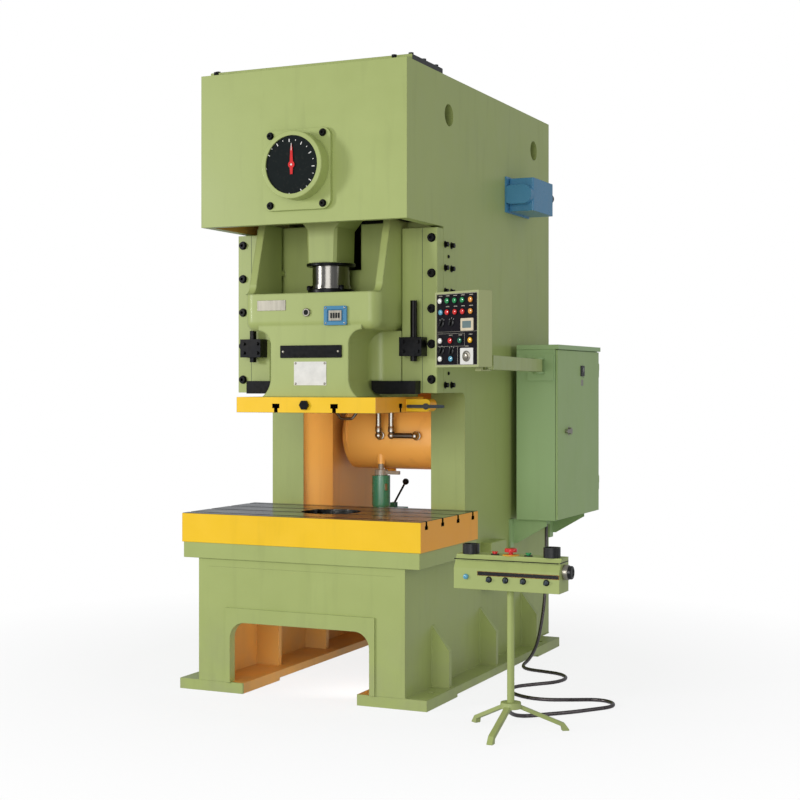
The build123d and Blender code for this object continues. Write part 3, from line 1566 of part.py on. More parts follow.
# Air valve box on the right side, with its round-ended front cap
valve_plate_margin = 8.0
valve_plate_reach = 40.0
valve_round = 8.0
cap_x = valve_x0 + 62.0
cap_z = valve_z0 + 88.0
cap_length = 168.0
cap_height = 104.0
cap_depth = 44.0
knob_x = valve_x1 - 34.0
knob_z = valve_z0 + 102.0
knob_stem_r = 6.0
knob_stem = 34.0
knob_length = 24.0
with BuildPart() as valve_box:
    with BuildSketch(Plane.YZ.offset(side_x)):
        with Locations((valve_y1, (valve_z0 + valve_z1) / 2)):
            Rectangle(
                valve_y1 - valve_y0 + valve_plate_reach,
                valve_height + 2 * valve_plate_margin,
                align=(Align.MAX, Align.CENTER),
            )
    extrude(amount=valve_wall)
    with BuildSketch(Plane.XY.offset(valve_z0)):
        with Locations(((valve_x0 + valve_x1) / 2, (valve_y0 + valve_y1) / 2)):
            RectangleRounded(valve_width, valve_y1 - valve_y0, valve_round)
    extrude(amount=valve_height)
    with BuildSketch(back_plane(valve_y0)):
        with Locations((cap_x, cap_z)):
            SlotOverall(cap_length, cap_height)
        with Locations((valve_x0, cap_z)):
            Rectangle(cap_length, cap_height, align=(Align.MAX, Align.CENTER), mode=Mode.SUBTRACT)
    extrude(amount=cap_depth)
    with BuildSketch(back_plane(valve_y1)):
        with Locations((knob_x, knob_z)):
            Circle(knob_stem_r)
    extrude(amount=-knob_stem)
valve_box.part.label = "valve_box"
export_step(valve_box.part, "parts/valve_box.step")

with BuildPart() as valve_knob:
    with BuildSketch(back_plane(valve_y1 + knob_stem)):
        with Locations((knob_x, knob_z)):
            Circle(valve_knob_r)
            Circle(knob_stem_r + running_fit, mode=Mode.SUBTRACT)
    extrude(amount=knob_length)
valve_knob.part.label = "valve_knob"
export_step(valve_knob.part, "parts/valve_knob.step")

# Cabinet shell, open towards +X, with hinge knuckles at the rear and a gland underneath
hinge_out = 6.0
hinge_back = 7.0
hinge_leaf = 20.0
hinge_x = cabinet_x1 + hinge_out
hinge_y = cabinet_y1 + hinge_back
gland_x = cabinet_x0 + 100.0
gland_y = cabinet_y0 + 212.0
gland_r = 19.0
conduit_r = 9.0
gland_drop = 38.0
roof_height = 25.0
roof_lap = 5.0
roof_x0 = cabinet_x0 + 2.0
roof_x1 = cabinet_x1 + door_thickness + 8.0
box_height = cabinet_height - roof_height
cabinet_mid_y = (cabinet_y0 + cabinet_y1) / 2
with BuildPart() as cabinet_shell:
    with BuildSketch(Plane.XY.offset(cabinet_z0)):
        with Locations(((cabinet_x0 + cabinet_x1) / 2, cabinet_mid_y)):
            Rectangle(cabinet_width, cabinet_length)
    extrude(amount=box_height)
    with BuildSketch(Plane.YZ.offset(cabinet_x0 + sheet)):
        with Locations((cabinet_mid_y, cabinet_z0 + box_height / 2)):
            Rectangle(cabinet_length - 2 * sheet, box_height - 2 * sheet)
    extrude(amount=cabinet_width, mode=Mode.SUBTRACT)
    with BuildSketch(Plane.XY.offset(cabinet_z1 - roof_height)):
        with Locations((roof_x0, cabinet_mid_y)):
            Rectangle(roof_x1 - roof_x0, cabinet_length + 2 * roof_lap, align=(Align.MIN, Align.CENTER))
    extrude(amount=roof_height)
    for z in hinge_z:
        with BuildSketch(Plane.XY.offset(z)):
            with Locations((hinge_x, hinge_y)):
                Circle(hinge_r)
            with Locations((hinge_x, cabinet_y1)):
                Rectangle(hinge_out + hinge_leaf, hinge_back, align=(Align.MAX, Align.MIN))
        extrude(amount=knuckle_height)
        with BuildSketch(Plane.XY.offset(z)):
            with Locations((hinge_x, hinge_y)):
                Circle(hinge_pin_r)
        extrude(amount=2 * knuckle_height)
    with BuildSketch(Plane.XY.offset(cabinet_z0)):
        with Locations((gland_x, gland_y)):
            Circle(gland_r)
    extrude(amount=-gland_drop)
cabinet_shell.part.label = "cabinet_shell"
export_step(cabinet_shell.part, "parts/cabinet_shell.step")

# Cabinet door: a shallow pan with its hinge knuckles
door_x0 = cabinet_x1 + turn_gap
door_x1 = cabinet_x1 + door_thickness
door_z0 = cabinet_z0 + door_margin
door_z1 = cabinet_z1 - roof_height - door_margin
door_y0 = cabinet_y0 + door_margin
door_y1 = cabinet_y1 - door_margin
handle_shaft_r = 8.0
lock_plate = 58.0
lock_plate_round = 5.0
lock_plate_depth = 6.0
lock_plate_y = cabinet_y1 - 326.0
lock_plate_z = cabinet_z1 - 141.0
with BuildPart() as cabinet_door:
    with BuildSketch(Plane.YZ.offset(door_x0)):
        with Locations(((door_y0 + door_y1) / 2, (door_z0 + door_z1) / 2)):
            Rectangle(door_y1 - door_y0, door_z1 - door_z0)
    extrude(amount=door_x1 - door_x0)
    with BuildSketch(Plane.YZ.offset(door_x0)):
        with Locations(((door_y0 + door_y1) / 2, (door_z0 + door_z1) / 2)):
            Rectangle(door_y1 - door_y0 - 2 * sheet, door_z1 - door_z0 - 2 * sheet)
    extrude(amount=door_x1 - door_x0 - sheet, mode=Mode.SUBTRACT)
    with BuildSketch(Plane.YZ.offset(door_x1)):
        with Locations((handle_y, handle_z)):
            Circle(handle_shaft_r + running_fit)
    extrude(amount=-sheet, mode=Mode.SUBTRACT)
    with BuildSketch(Plane.YZ.offset(door_x1)):
        with Locations((lock_plate_y, lock_plate_z)):
            RectangleRounded(lock_plate, lock_plate, lock_plate_round)
    extrude(amount=lock_plate_depth)
    for z in hinge_z:
        with BuildSketch(Plane.XY.offset(z + knuckle_height + seat_gap)):
            with Locations((hinge_x, hinge_y)):
                Circle(hinge_r)
            with Locations((door_x1, hinge_y)):
                Rectangle(sheet, hinge_leaf, align=(Align.MAX, Align.MAX))
            with Locations((hinge_x, hinge_y)):
                Circle(hinge_pin_r + running_fit, mode=Mode.SUBTRACT)
        extrude(amount=knuckle_height)
cabinet_door.part.label = "cabinet_door"
export_step(cabinet_door.part, "parts/cabinet_door.step")

# Turning handle of the door with its inner latch bar
handle_hub_r = 19.0
handle_length = 74.0
handle_width = 22.0
handle_depth = 14.0
handle_offset = 34.0
latch_width = 20.0
latch_length = 60.0
latch_thickness = 4.0
with BuildPart() as door_handle:
    with BuildSketch(Plane.YZ.offset(door_x1 - sheet - turn_gap - latch_thickness)):
        with Locations((handle_y, handle_z)):
            Circle(handle_shaft_r)
    extrude(amount=latch_thickness + sheet + 2 * turn_gap + handle_depth)
    with BuildSketch(Plane.YZ.offset(door_x1 + turn_gap)):
        with Locations((handle_y, handle_z)):
            Circle(handle_hub_r)
        with Locations((handle_y - handle_offset, handle_z)):
            SlotOverall(handle_length, handle_width)
    extrude(amount=handle_depth)
    with BuildSketch(Plane.YZ.offset(door_x1 - sheet - turn_gap - latch_thickness)):
        with Locations((handle_y, handle_z)):
            Rectangle(latch_width, latch_length)
    extrude(amount=latch_thickness)
door_handle.part.label = "door_handle"
export_step(door_handle.part, "parts/door_handle.step")

# Brackets: two webs under the cabinet and the hinge bracket of the pendant arm
bracket_thickness = 10.0
bracket_reach = 200.0
bracket_height = 135.0
bracket_foot = 26.0
bracket_lip = 34.0
bracket_pad = 58.0
bracket_pad_height = 160.0
ear_thickness = 10.0
ear_r = 26.0
arm_plate_width = 150.0
arm_plate_drop = 50.0
arm_plate_height = 147.0
arm_plate_t = 12.0
arm_pin_r = 14.0
arm_plate_z0 = arm_z0 - arm_plate_drop
bracket_y = (cabinet_y0 + 35.0, cabinet_y1 - 61.0)
with BuildPart() as cabinet_brackets:
    for y in bracket_y:
        with BuildSketch(back_plane(y + bracket_thickness)):
            with BuildLine():
                Polyline(
                    (side_x, cabinet_z0),
                    (side_x, cabinet_z0 - bracket_height),
                    (side_x + bracket_foot, cabinet_z0 - bracket_height),
                    (side_x + bracket_reach, cabinet_z0 - bracket_lip),
                    (side_x + bracket_reach, cabinet_z0),
                    close=True,
                )
            make_face()
        extrude(amount=bracket_thickness)
        with BuildSketch(Plane.YZ.offset(side_x)):
            with Locations((y, cabinet_z0 - bracket_pad_height)):
                Rectangle(bracket_pad, bracket_pad_height, align=(Align.MAX, Align.MIN))
        extrude(amount=bracket_thickness)
    with BuildSketch(back_plane(cabinet_y0)):
        with Locations((arm_pivot_x, arm_plate_z0 + arm_plate_height / 2)):
            Rectangle(arm_plate_width, arm_plate_height)
    extrude(amount=arm_plate_t)
    for z in (arm_z0 - slide_gap - ear_thickness, arm_z0 + arm_size + slide_gap):
        with BuildSketch(Plane.XY.offset(z)):
            with Locations((arm_pivot_x, arm_pivot_y)):
                Circle(ear_r)
                Rectangle(2 * ear_r, arm_pivot_reach - arm_plate_t, align=(Align.CENTER, Align.MIN))
        extrude(amount=ear_thickness)
    with BuildSketch(Plane.XY.offset(arm_z0 - slide_gap - ear_thickness)):
        with Locations((arm_pivot_x, arm_pivot_y)):
            Circle(arm_pin_r)
    extrude(amount=arm_size + 2 * (slide_gap + ear_thickness))
cabinet_brackets.part.label = "cabinet_brackets"
export_step(cabinet_brackets.part, "parts/cabinet_brackets.step")

# Pendant arm: rectangular tube with a solid hinge end
arm_dir = (sin(radians(arm_swing)), -cos(radians(arm_swing)), 0)
arm_plane = Plane(origin=(arm_pivot_x, arm_pivot_y, arm_z0), x_dir=arm_dir, z_dir=(0, 0, 1))
swivel_x = arm_pivot_x + arm_length * arm_dir[0]
swivel_y = arm_pivot_y + arm_length * arm_dir[1]
arm_tip = 10.0
arm_hub_r = 25.0
arm_tube_start = 40.0
arm_solid = 30.0
arm_drain = 110.0
arm_drain_r = 11.0
with BuildPart() as swing_arm:
    with BuildSketch(arm_plane):
        Circle(arm_hub_r)
        Rectangle(arm_tube_start, 2 * arm_hub_r, align=(Align.MIN, Align.CENTER))
        with Locations((arm_tube_start, 0)):
            Rectangle(arm_length - arm_tube_start + arm_tip, arm_size, align=(Align.MIN, Align.CENTER))
    extrude(amount=arm_size)
    with BuildSketch(arm_plane.offset(arm_wall)):
        with Locations((arm_length / 2, 0)):
            Rectangle(arm_length - 2 * (arm_tube_start + arm_solid), arm_size - 2 * arm_wall)
    extrude(amount=arm_size - 2 * arm_wall, mode=Mode.SUBTRACT)
    with BuildSketch(arm_plane):
        with Locations((arm_drain, 0), (arm_length - arm_drain, 0)):
            Circle(arm_drain_r)
    extrude(amount=arm_wall, mode=Mode.SUBTRACT)
    with BuildSketch(arm_plane):
        Circle(arm_pin_r + running_fit)
        with Locations((arm_length, 0)):
            Circle(swivel_pin_r + running_fit)
    extrude(amount=arm_size, mode=Mode.SUBTRACT)
swing_arm.part.label = "swing_arm"
export_step(swing_arm.part, "parts/swing_arm.step")

# Pendant box with the swivel fork on its back. In its own plane x runs right, y runs back.
turn = radians(pendant_turn)
pendant_plane = Plane(
    origin=(swivel_x, swivel_y, pendant_z0), x_dir=(cos(turn), -sin(turn), 0), z_dir=(0, 0, 1)
)
pendant_x0 = pendant_right - pendant_width
pendant_face = -pendant_setback - pendant_depth
panel_recess = 4.0
panel_rim = 10.0
fork_thickness = 6.0
fork_r = 20.0
fork_root = 10.0
fork_foot = arm_z0 - pendant_z0 - slide_gap - fork_thickness
face_plane = Plane(
    origin=pendant_plane.from_local_coords(Vector(pendant_x0, pendant_face + panel_recess, 0)),
    x_dir=(cos(turn), -sin(turn), 0),
    z_dir=(-sin(turn), -cos(turn), 0),
)
with BuildPart() as pendant_box:
    with BuildSketch(pendant_plane):
        with Locations((pendant_x0, pendant_face)):
            Rectangle(pendant_width, pendant_depth, align=(Align.MIN, Align.MIN))
    extrude(amount=pendant_height)
    with BuildSketch(face_plane):
        with Locations((pendant_width / 2, pendant_height / 2)):
            Rectangle(pendant_width - 2 * panel_rim, pendant_height - 2 * panel_rim)
    extrude(amount=panel_recess, mode=Mode.SUBTRACT)
    for z in (fork_foot, arm_z0 + arm_size - pendant_z0 + slide_gap):
        with BuildSketch(pendant_plane.offset(z)):
            Circle(fork_r)
            Rectangle(2 * fork_r, pendant_setback + fork_root, align=(Align.CENTER, Align.MAX))
        extrude(amount=fork_thickness)
    with BuildSketch(pendant_plane.offset(fork_foot)):
        with Locations((0, -pendant_setback)):
            Rectangle(2 * fork_r, fork_root, align=(Align.CENTER, Align.MAX))
    extrude(amount=fork_thickness - fork_foot)
    with BuildSketch(pendant_plane.offset(fork_foot)):
        Circle(swivel_pin_r)
    extrude(amount=arm_size + 2 * (slide_gap + fork_thickness))
pendant_box.part.label = "pendant_box"
export_step(pendant_box.part, "parts/pendant_box.step")

# Controls of the pendant, in face coordinates: x from the left edge, y from the bottom
lamp_r = 11.0
bezel_r = 14.0
bezel_depth = 5.0
lamp_depth = 6.0
lamp_rows = (
    (308.0, (35.5, 84.5, 135.5, 187.5, 242.5)),
    (255.0, (41.5, 84.5, 137.5, 188.5, 242.5)),
    (123.0, (36.5, 105.5, 170.5, 239.5)),
    (39.0, (36.5, 109.5)),
)
selector_spots = ((45.5, 204.0), (111.5, 206.0), (45.5, 77.0), (111.5, 74.0))
selector_r = 16.0
selector_length = 28.0
selector_width = 9.0
selector_turn = 60.0
selector_depth = 12.0
screen_x = 217.5
screen_y = 211.0
screen_width = 82.0
screen_height = 76.0
screen_depth = 6.0
estop_plate_x = 213.5
estop_plate_y = 50.0
estop_plate_width = 92.0
estop_plate_height = 74.0
estop_plate_depth = 4.0
estop_knob_r = 26.0
with BuildPart() as pendant_controls:
    for height, xs in lamp_rows:
        for x in xs:
            with BuildSketch(face_plane):
                with Locations((x, height)):
                    Circle(bezel_r)
            extrude(amount=bezel_depth)
            with BuildSketch(face_plane.offset(bezel_depth)):
                with Locations((x, height)):
                    Circle(lamp_r)
            extrude(amount=lamp_depth)
    for spot in selector_spots:
        with BuildSketch(face_plane):
            with Locations(spot):
                Circle(selector_r)
        extrude(amount=bezel_depth)
        with BuildSketch(face_plane.offset(bezel_depth)):
            with Locations(spot):
                SlotOverall(selector_length, selector_width, rotation=selector_turn)
        extrude(amount=selector_depth)
    with BuildSketch(face_plane):
        with Locations((screen_x, screen_y)):
            RectangleRounded(screen_width, screen_height, cover_round)
    extrude(amount=screen_depth)
    with BuildSketch(face_plane):
        with Locations((estop_plate_x, estop_plate_y)):
            RectangleRounded(estop_plate_width, estop_plate_height, cover_round)
    extrude(amount=estop_plate_depth)
    with BuildSketch(face_plane.offset(estop_plate_depth)):
        with Locations((estop_plate_x, estop_plate_y)):
            Circle(estop_knob_r)
    extrude(amount=selector_depth)
pendant_controls.part.label = "pendant_controls"
export_step(pendant_controls.part, "parts/pendant_controls.step")

# Junction box on the right side of the base
junction_length = 225.0
junction_y = 112.5
junction_height = 250.0
junction_lift = 90.0
junction_depth = 60.0
junction_corner = 12.0
junction_edge = 4.0
junction_z = gusset_inner_top + junction_lift + junction_height / 2
with BuildPart() as junction_box:
    with BuildSketch(Plane.YZ.offset(side_x)):
        with Locations((junction_y, junction_z)):
            RectangleRounded(junction_length, junction_height, junction_corner)
    extrude(amount=junction_depth)
    fillet(junction_box.faces().sort_by(Axis.X)[-1].edges(), junction_edge)
junction_box.part.label = "junction_box"
export_step(junction_box.part, "parts/junction_box.step")

# Pedestal stand: three legs, hub with the conduit's gland, and pole
hub_r = 48.0
hub_thickness = 26.0
leg_width = 26.0
stand_gland_r = 14.0
stand_gland_reach = 76.0
conduit_arrival = Vector(-0.40, 0.86, -0.40).normalized()
hub_taper = 8
gland_root = 10.0
leg_start = 20.0
leg_top_drop = 4.0
leg_heel = 18.0
leg_ankle = 34.0
leg_ankle_z = 20.0
leg_toe = 30.0
toe_height = 5.0
leg_knee = 20.0
leg_knee_z = 33.0
hub_centre = Vector(stand_x, stand_y, hub_z - hub_thickness / 2)
stand_gland_face = hub_centre + conduit_arrival * stand_gland_reach
with BuildPart() as pedestal_stand:
    with BuildSketch(Plane.XY.offset(hub_z - hub_thickness)):
        with Locations((stand_x, stand_y)):
            Circle(hub_r)
    extrude(amount=hub_thickness, taper=hub_taper)
    with BuildSketch(Plane(stand_gland_face, z_dir=-conduit_arrival)):
        Circle(stand_gland_r)
    extrude(amount=stand_gland_reach - gland_root)
    with BuildSketch(Plane.XY.offset(hub_z)):
        with Locations((stand_x, stand_y)):
            Circle(pole_r)
    extrude(amount=box_bottom - hub_z)
    for angle in leg_angles:
        out = Vector(cos(radians(angle)), sin(radians(angle)), 0)
        side = Vector(-out.Y, out.X, 0)
        leg_plane = Plane(
            origin=Vector(stand_x, stand_y, 0) - side * (leg_width / 2), x_dir=out, z_dir=side
        )
        rise = 1 if leg_plane.y_dir.Z > 0 else -1
        with BuildSketch(leg_plane):
            with BuildLine():
                Polyline(
                    (leg_start, rise * (hub_z - leg_top_drop)),
                    (leg_start, rise * (hub_z - leg_top_drop - leg_heel)),
                    (leg_reach - leg_ankle, rise * leg_ankle_z),
                    (leg_reach - leg_toe, 0),
                    (leg_reach, 0),
                    (leg_reach, rise * toe_height),
                    (leg_reach - leg_knee, rise * leg_knee_z),
                    close=True,
                )
            make_face()
        extrude(amount=leg_width)
pedestal_stand.part.label = "pedestal_stand"
export_step(pedestal_stand.part, "parts/pedestal_stand.step")

# Pedestal box with its sloping shoulder, bored for the buttons
box_back = box_front + box_depth
shoulder_setback = 32.0
top_setback = 34.0
hole_depth = 30.0
palm_stem_r = palm_button_r - 8.0
small_stem_r = small_button_r - 4.0
estop_stem_r = 10.0
with BuildPart() as pedestal_box:
    with BuildSketch(Plane.YZ.offset(box_x0)):
        with BuildLine():
            Polyline(
                (box_front, box_bottom),
                (box_back, box_bottom),
                (box_back, box_top),
                (box_front + top_setback, box_top),
                (box_front + shoulder_setback, box_shoulder),
                (box_front, box_lip),
                close=True,
            )
        make_face()
    extrude(amount=box_width)
    with BuildSketch(Plane.XY.offset(box_top - hole_depth)):
        with Locations((palm_x[0], button_y), (palm_x[1], button_y)):
            Circle(palm_stem_r + seat_gap)
        with Locations((stop_x, button_y), (start_x, button_y)):
            Circle(small_stem_r + seat_gap)
        with Locations((estop_x, button_y)):
            Circle(estop_stem_r + seat_gap)
    extrude(amount=hole_depth, mode=Mode.SUBTRACT)
pedestal_box.part.label = "pedestal_box"
export_step(pedestal_box.part, "parts/pedestal_box.step")

# Fittings of the pedestal: palm guards, button collars, knobs, lamp, strip and socket
guard_wall = 5.0
guard_round = 14.0
collar_wall = 3.0
estop_collar_r = 35.0
button_collar = 4.0
front_knobs = (165.0, 241.0, 322.0, 428.0)
front_knob_r = 14.0
front_knob_z = box_bottom + 46.0
front_knob = 16.0
front_lamp_x = box_x0 + 58.0
front_lamp_z = box_bottom + 54.0
front_lamp_r = 12.0
strip_x = box_x0 + 113.0
strip_z = box_bottom + 71.0
strip_length = 370.0
strip_height = 17.0
strip_depth = 2.0
socket_z = box_bottom + 87.0
socket_r = 33.0
socket_depth = 26.0
socket_cap_r = 29.0
socket_cap = 14.0
with BuildPart() as pedestal_fittings:
    for x in palm_x:
        with BuildSketch(Plane.XY.offset(box_top)):
            with Locations((x, button_y)):
                RectangleRounded(palm_size, palm_size, guard_round)
                guard_inside = palm_size - 2 * guard_wall
                RectangleRounded(guard_inside, guard_inside, guard_round - guard_wall, mode=Mode.SUBTRACT)
        extrude(amount=palm_height)
    with BuildSketch(Plane.XY.offset(box_top)):
        with Locations((stop_x, button_y), (start_x, button_y)):
            Circle(small_button_r + collar_wall)
            Circle(small_stem_r + seat_gap, mode=Mode.SUBTRACT)
        with Locations((estop_x, button_y)):
            Circle(estop_collar_r)
            Circle(estop_stem_r + seat_gap, mode=Mode.SUBTRACT)
    extrude(amount=button_collar)
    with BuildSketch(back_plane(box_front)):
        with Locations((strip_x, strip_z)):
            Rectangle(strip_length, strip_height, align=(Align.MIN, Align.CENTER))
    extrude(amount=strip_depth)
    with BuildSketch(back_plane(box_front)):
        for offset in front_knobs:
            with Locations((box_x0 + offset, front_knob_z)):
                Circle(front_knob_r)
        with Locations((front_lamp_x, front_lamp_z)):
            Circle(front_lamp_r)
    extrude(amount=front_knob)
    with BuildSketch(Plane.YZ.offset(box_x0 + box_width)):
        with Locations((button_y, socket_z)):
            Circle(socket_r)
    extrude(amount=socket_depth)
    with BuildSketch(Plane.YZ.offset(box_x0 + box_width + socket_depth)):
        with Locations((button_y, socket_z)):
            Circle(socket_cap_r)
    extrude(amount=socket_cap)
pedestal_fittings.part.label = "pedestal_fittings"
export_step(pedestal_fittings.part, "parts/pedestal_fittings.step")

# Buttons of the pedestal
stem_depth = 18.0
palm_head = 14.0
palm_edge = 5.0
small_head = 6.0
estop_rise = 16.0
estop_head = 16.0
estop_edge = 7.0
for name, x in (("palm_button_left", palm_x[0]), ("palm_button_right", palm_x[1])):
    with BuildPart() as palm_button:
        with BuildSketch(Plane.XY.offset(box_top - stem_depth)):
            with Locations((x, button_y)):
                Circle(palm_stem_r)
        extrude(amount=stem_depth + palm_travel + turn_gap)
        with BuildSketch(Plane.XY.offset(box_top + palm_travel + turn_gap)):
            with Locations((x, button_y)):
                Circle(palm_button_r)
        extrude(amount=palm_head)
        fillet(palm_button.edges().group_by(Axis.Z)[-1], palm_edge)
    palm_button.part.label = name
    export_step(palm_button.part, f"parts/{name}.step")

for name, x in (("stop_button", stop_x), ("start_button", start_x)):
    with BuildPart() as small_button:
        with BuildSketch(Plane.XY.offset(box_top - stem_depth)):
            with Locations((x, button_y)):
                Circle(small_stem_r)
        extrude(amount=stem_depth + button_collar + button_travel + turn_gap)
        with BuildSketch(Plane.XY.offset(box_top + button_collar + button_travel + turn_gap)):
            with Locations((x, button_y)):
                Circle(small_button_r)
        extrude(amount=small_head)
    small_button.part.label = name
    export_step(small_button.part, f"parts/{name}.step")

with BuildPart() as emergency_stop:
    with BuildSketch(Plane.XY.offset(box_top - stem_depth)):
        with Locations((estop_x, button_y)):
            Circle(estop_stem_r)
    extrude(amount=stem_depth + estop_rise)
    with BuildSketch(Plane.XY.offset(box_top + estop_rise)):
        with Locations((estop_x, button_y)):
            Circle(estop_r)
    extrude(amount=estop_head)
    fillet(emergency_stop.edges().group_by(Axis.Z)[-1], estop_edge)
emergency_stop.part.label = "emergency_stop"
export_step(emergency_stop.part, "parts/emergency_stop.step")

# Flexible conduit from the cabinet to the pedestal's hub, laid in loops on the floor
floor_z = conduit_r
last_run = 95.0
bend_share = 0.45
fall = cabinet_z0 - gland_drop
conduit_points = [
    (gland_x, gland_y, fall),
    (gland_x, gland_y, fall * 0.8141),
    (gland_x + 2, gland_y - 15, fall * 0.6174),
    (gland_x + 6, gland_y - 47, fall * 0.4233),
    (gland_x + 5, gland_y - 103, fall * 0.2469),
    (gland_x + 9, gland_y - 187, fall * 0.114),
    (gland_x + 4, gland_y - 293, fall * 0.0353),
    (gland_x - 1, gland_y - 400, floor_z),
    (756, 172, floor_z),
    (862, 152, floor_z),
    (968, 122, floor_z),
    (1030, 28, floor_z),
    (1012, -90, floor_z),
    (928, -184, floor_z),
    (850, -285, floor_z),
    (866, -398, floor_z),
    (958, -490, floor_z),
    (1080, -522, floor_z),
    (1205, -470, floor_z),
    (1325, -405, floor_z),
    (1410, -441, floor_z),
    (1437, -529, floor_z),
    (1372, -622, floor_z),
    (1296, -724, floor_z),
    (1205, -815, floor_z),
    (1114, -925, 12),
    tuple(stand_gland_face + conduit_arrival * last_run),
    tuple(stand_gland_face),
]
conduit_radii = []
conduit_turns = []
for before, corner, after in zip(conduit_points, conduit_points[1:], conduit_points[2:]):
    run_in = Vector(*corner) - Vector(*before)
    run_out = Vector(*after) - Vector(*corner)
    half_turn = radians(run_in.get_angle(run_out)) / 2
    conduit_turns.append(2 * degrees(half_turn))
    conduit_radii.append(bend_share * min(run_in.length, run_out.length) / tan(half_turn))
with BuildPart() as conduit:
    with BuildLine() as conduit_path:
        FilletPolyline(*conduit_points, radius=conduit_radii)
    with BuildSketch(Plane(conduit_path.line @ 0, z_dir=conduit_path.line % 0)):
        Circle(conduit_r)
    sweep()
conduit.part.label = "conduit"
export_step(conduit.part, "parts/conduit.step")
print("conduit turns", [round(turn_angle) for turn_angle in conduit_turns])
print("conduit radii", [round(radius) for radius in conduit_radii])
print("conduit length", round(sum(run.length for run in conduit_path.line.edges())))
print("conduit volume", round(conduit.part.volume))
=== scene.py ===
"""Looks of an open-back punch press with its cabinet, pendant and two-hand pedestal."""

import math

import bmesh
import bpy
from mathutils import Matrix, Vector


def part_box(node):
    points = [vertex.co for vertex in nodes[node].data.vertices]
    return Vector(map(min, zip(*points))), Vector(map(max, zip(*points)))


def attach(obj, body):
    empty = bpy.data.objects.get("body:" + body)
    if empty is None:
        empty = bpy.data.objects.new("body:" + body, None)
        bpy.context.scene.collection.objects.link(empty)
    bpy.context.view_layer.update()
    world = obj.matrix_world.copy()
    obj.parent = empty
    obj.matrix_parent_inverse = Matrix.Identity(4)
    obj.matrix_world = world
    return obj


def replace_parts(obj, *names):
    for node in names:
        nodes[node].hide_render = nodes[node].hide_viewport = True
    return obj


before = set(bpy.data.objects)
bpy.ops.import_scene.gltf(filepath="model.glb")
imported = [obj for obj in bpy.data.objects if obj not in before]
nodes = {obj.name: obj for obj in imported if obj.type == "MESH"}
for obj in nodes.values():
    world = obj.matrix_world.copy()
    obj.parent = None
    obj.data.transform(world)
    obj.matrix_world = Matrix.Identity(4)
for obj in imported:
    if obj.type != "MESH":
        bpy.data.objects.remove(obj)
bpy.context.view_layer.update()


# Colours, as they are read off a display
GREEN = (0.66, 0.708, 0.42)
# The cabinet's shell and door are one paint; the shell's lighter green is painted light on its shaded front.
CABINET_GREEN_PAINTED_LIGHT = (0.64, 0.75, 0.52)
GREEN_DOOR = (0.635, 0.735, 0.47)
GREEN_PENDANT = (0.665, 0.69, 0.47)
ORANGE = (0.865, 0.655, 0.32)
YELLOW = (0.985, 0.79, 0.08)
YELLOW_PAINTED_SHADE = (1.0, 0.68, 0.12)
BLUE = (0.27, 0.53, 0.68)
BLACK = (0.055, 0.057, 0.06)
STEEL = (0.64, 0.64, 0.63)
DARK_STEEL = (0.13, 0.132, 0.138)
CAST = (0.33, 0.325, 0.315)
BRONZE = (0.64, 0.47, 0.25)
DUST = (0.56, 0.54, 0.48)
GRIME = (0.22, 0.2, 0.14)
OIL = (0.2, 0.18, 0.15)

X, Y, Z = 0, 1, 2
FAR = 9.0
EDGE = 0.001
SOFT_EDGE = 0.0005
TURN_LIMITS = (0.45, 0.55)
# Sockets of a Mix node by what it mixes: first, second and result
MIX_SOCKETS = {"FLOAT": (2, 3, 0), "VECTOR": (4, 5, 1), "RGBA": (6, 7, 2)}


def linear(color):
    """A colour read off a display, as the renderer's linear red, green, blue and alpha."""
    parts = [c / 12.92 if c <= 0.04045 else ((c + 0.055) / 1.055) ** 2.4 for c in color]
    return (*parts, 1.0)


# Small helpers for node trees
def place(tree, kind, inputs=None, **settings):
    """Adds a node, sets it, and fills its inputs with values or with links from other sockets."""
    node = tree.nodes.new(kind)
    for key, value in settings.items():
        setattr(node, key, value)
    for key, value in (inputs or {}).items():
        if isinstance(value, bpy.types.NodeSocket):
            tree.links.new(value, node.inputs[key])
        else:
            node.inputs[key].default_value = value
    return node


def empty_tree(owner):
    """The cleared node tree of a material or a world."""
    owner.use_nodes = True
    owner.node_tree.nodes.clear()
    return owner.node_tree


def math_node(tree, operation, *values, clamp=False):
    """One Math node on one to three values; returns its value."""
    node = place(tree, "ShaderNodeMath", dict(enumerate(values)), operation=operation, use_clamp=clamp)
    return node.outputs[0]


def product(tree, first, *others):
    """Values multiplied one after the other."""
    for other in others:
        first = math_node(tree, "MULTIPLY", first, other)
    return first


def weighted(tree, value, weight, base):
    """A value times its weight, added to a base."""
    return math_node(tree, "MULTIPLY_ADD", value, weight, base)


def mix(tree, factor, first, second, kind="RGBA"):
    """One Mix node for colours, vectors or plain values; returns its result."""
    low, high, result = MIX_SOCKETS[kind]
    inputs = {0: factor, low: first, high: second}
    return place(tree, "ShaderNodeMix", inputs, data_type=kind).outputs[result]


def scaled(tree, color, factor):
    """A colour made lighter or darker."""
    return place(tree, "ShaderNodeVectorMath", {0: color, 3: factor}, operation="SCALE").outputs[0]


def spread(tree, value, low, high, new_low=0.0, new_high=1.0):
    """Maps a value from one range to another, held at the ends."""
    inputs = {"Value": value, "From Min": low, "From Max": high, "To Min": new_low, "To Max": new_high}
    return place(tree, "ShaderNodeMapRange", inputs).outputs[0]


def object_place(tree):
    """Object coordinates, which are metres in the machine's own frame."""
    return place(tree, "ShaderNodeTexCoord").outputs["Object"]


def along(tree, vector, axis):
    """One part of a vector."""
    return place(tree, "ShaderNodeSeparateXYZ", {0: vector}).outputs[axis]


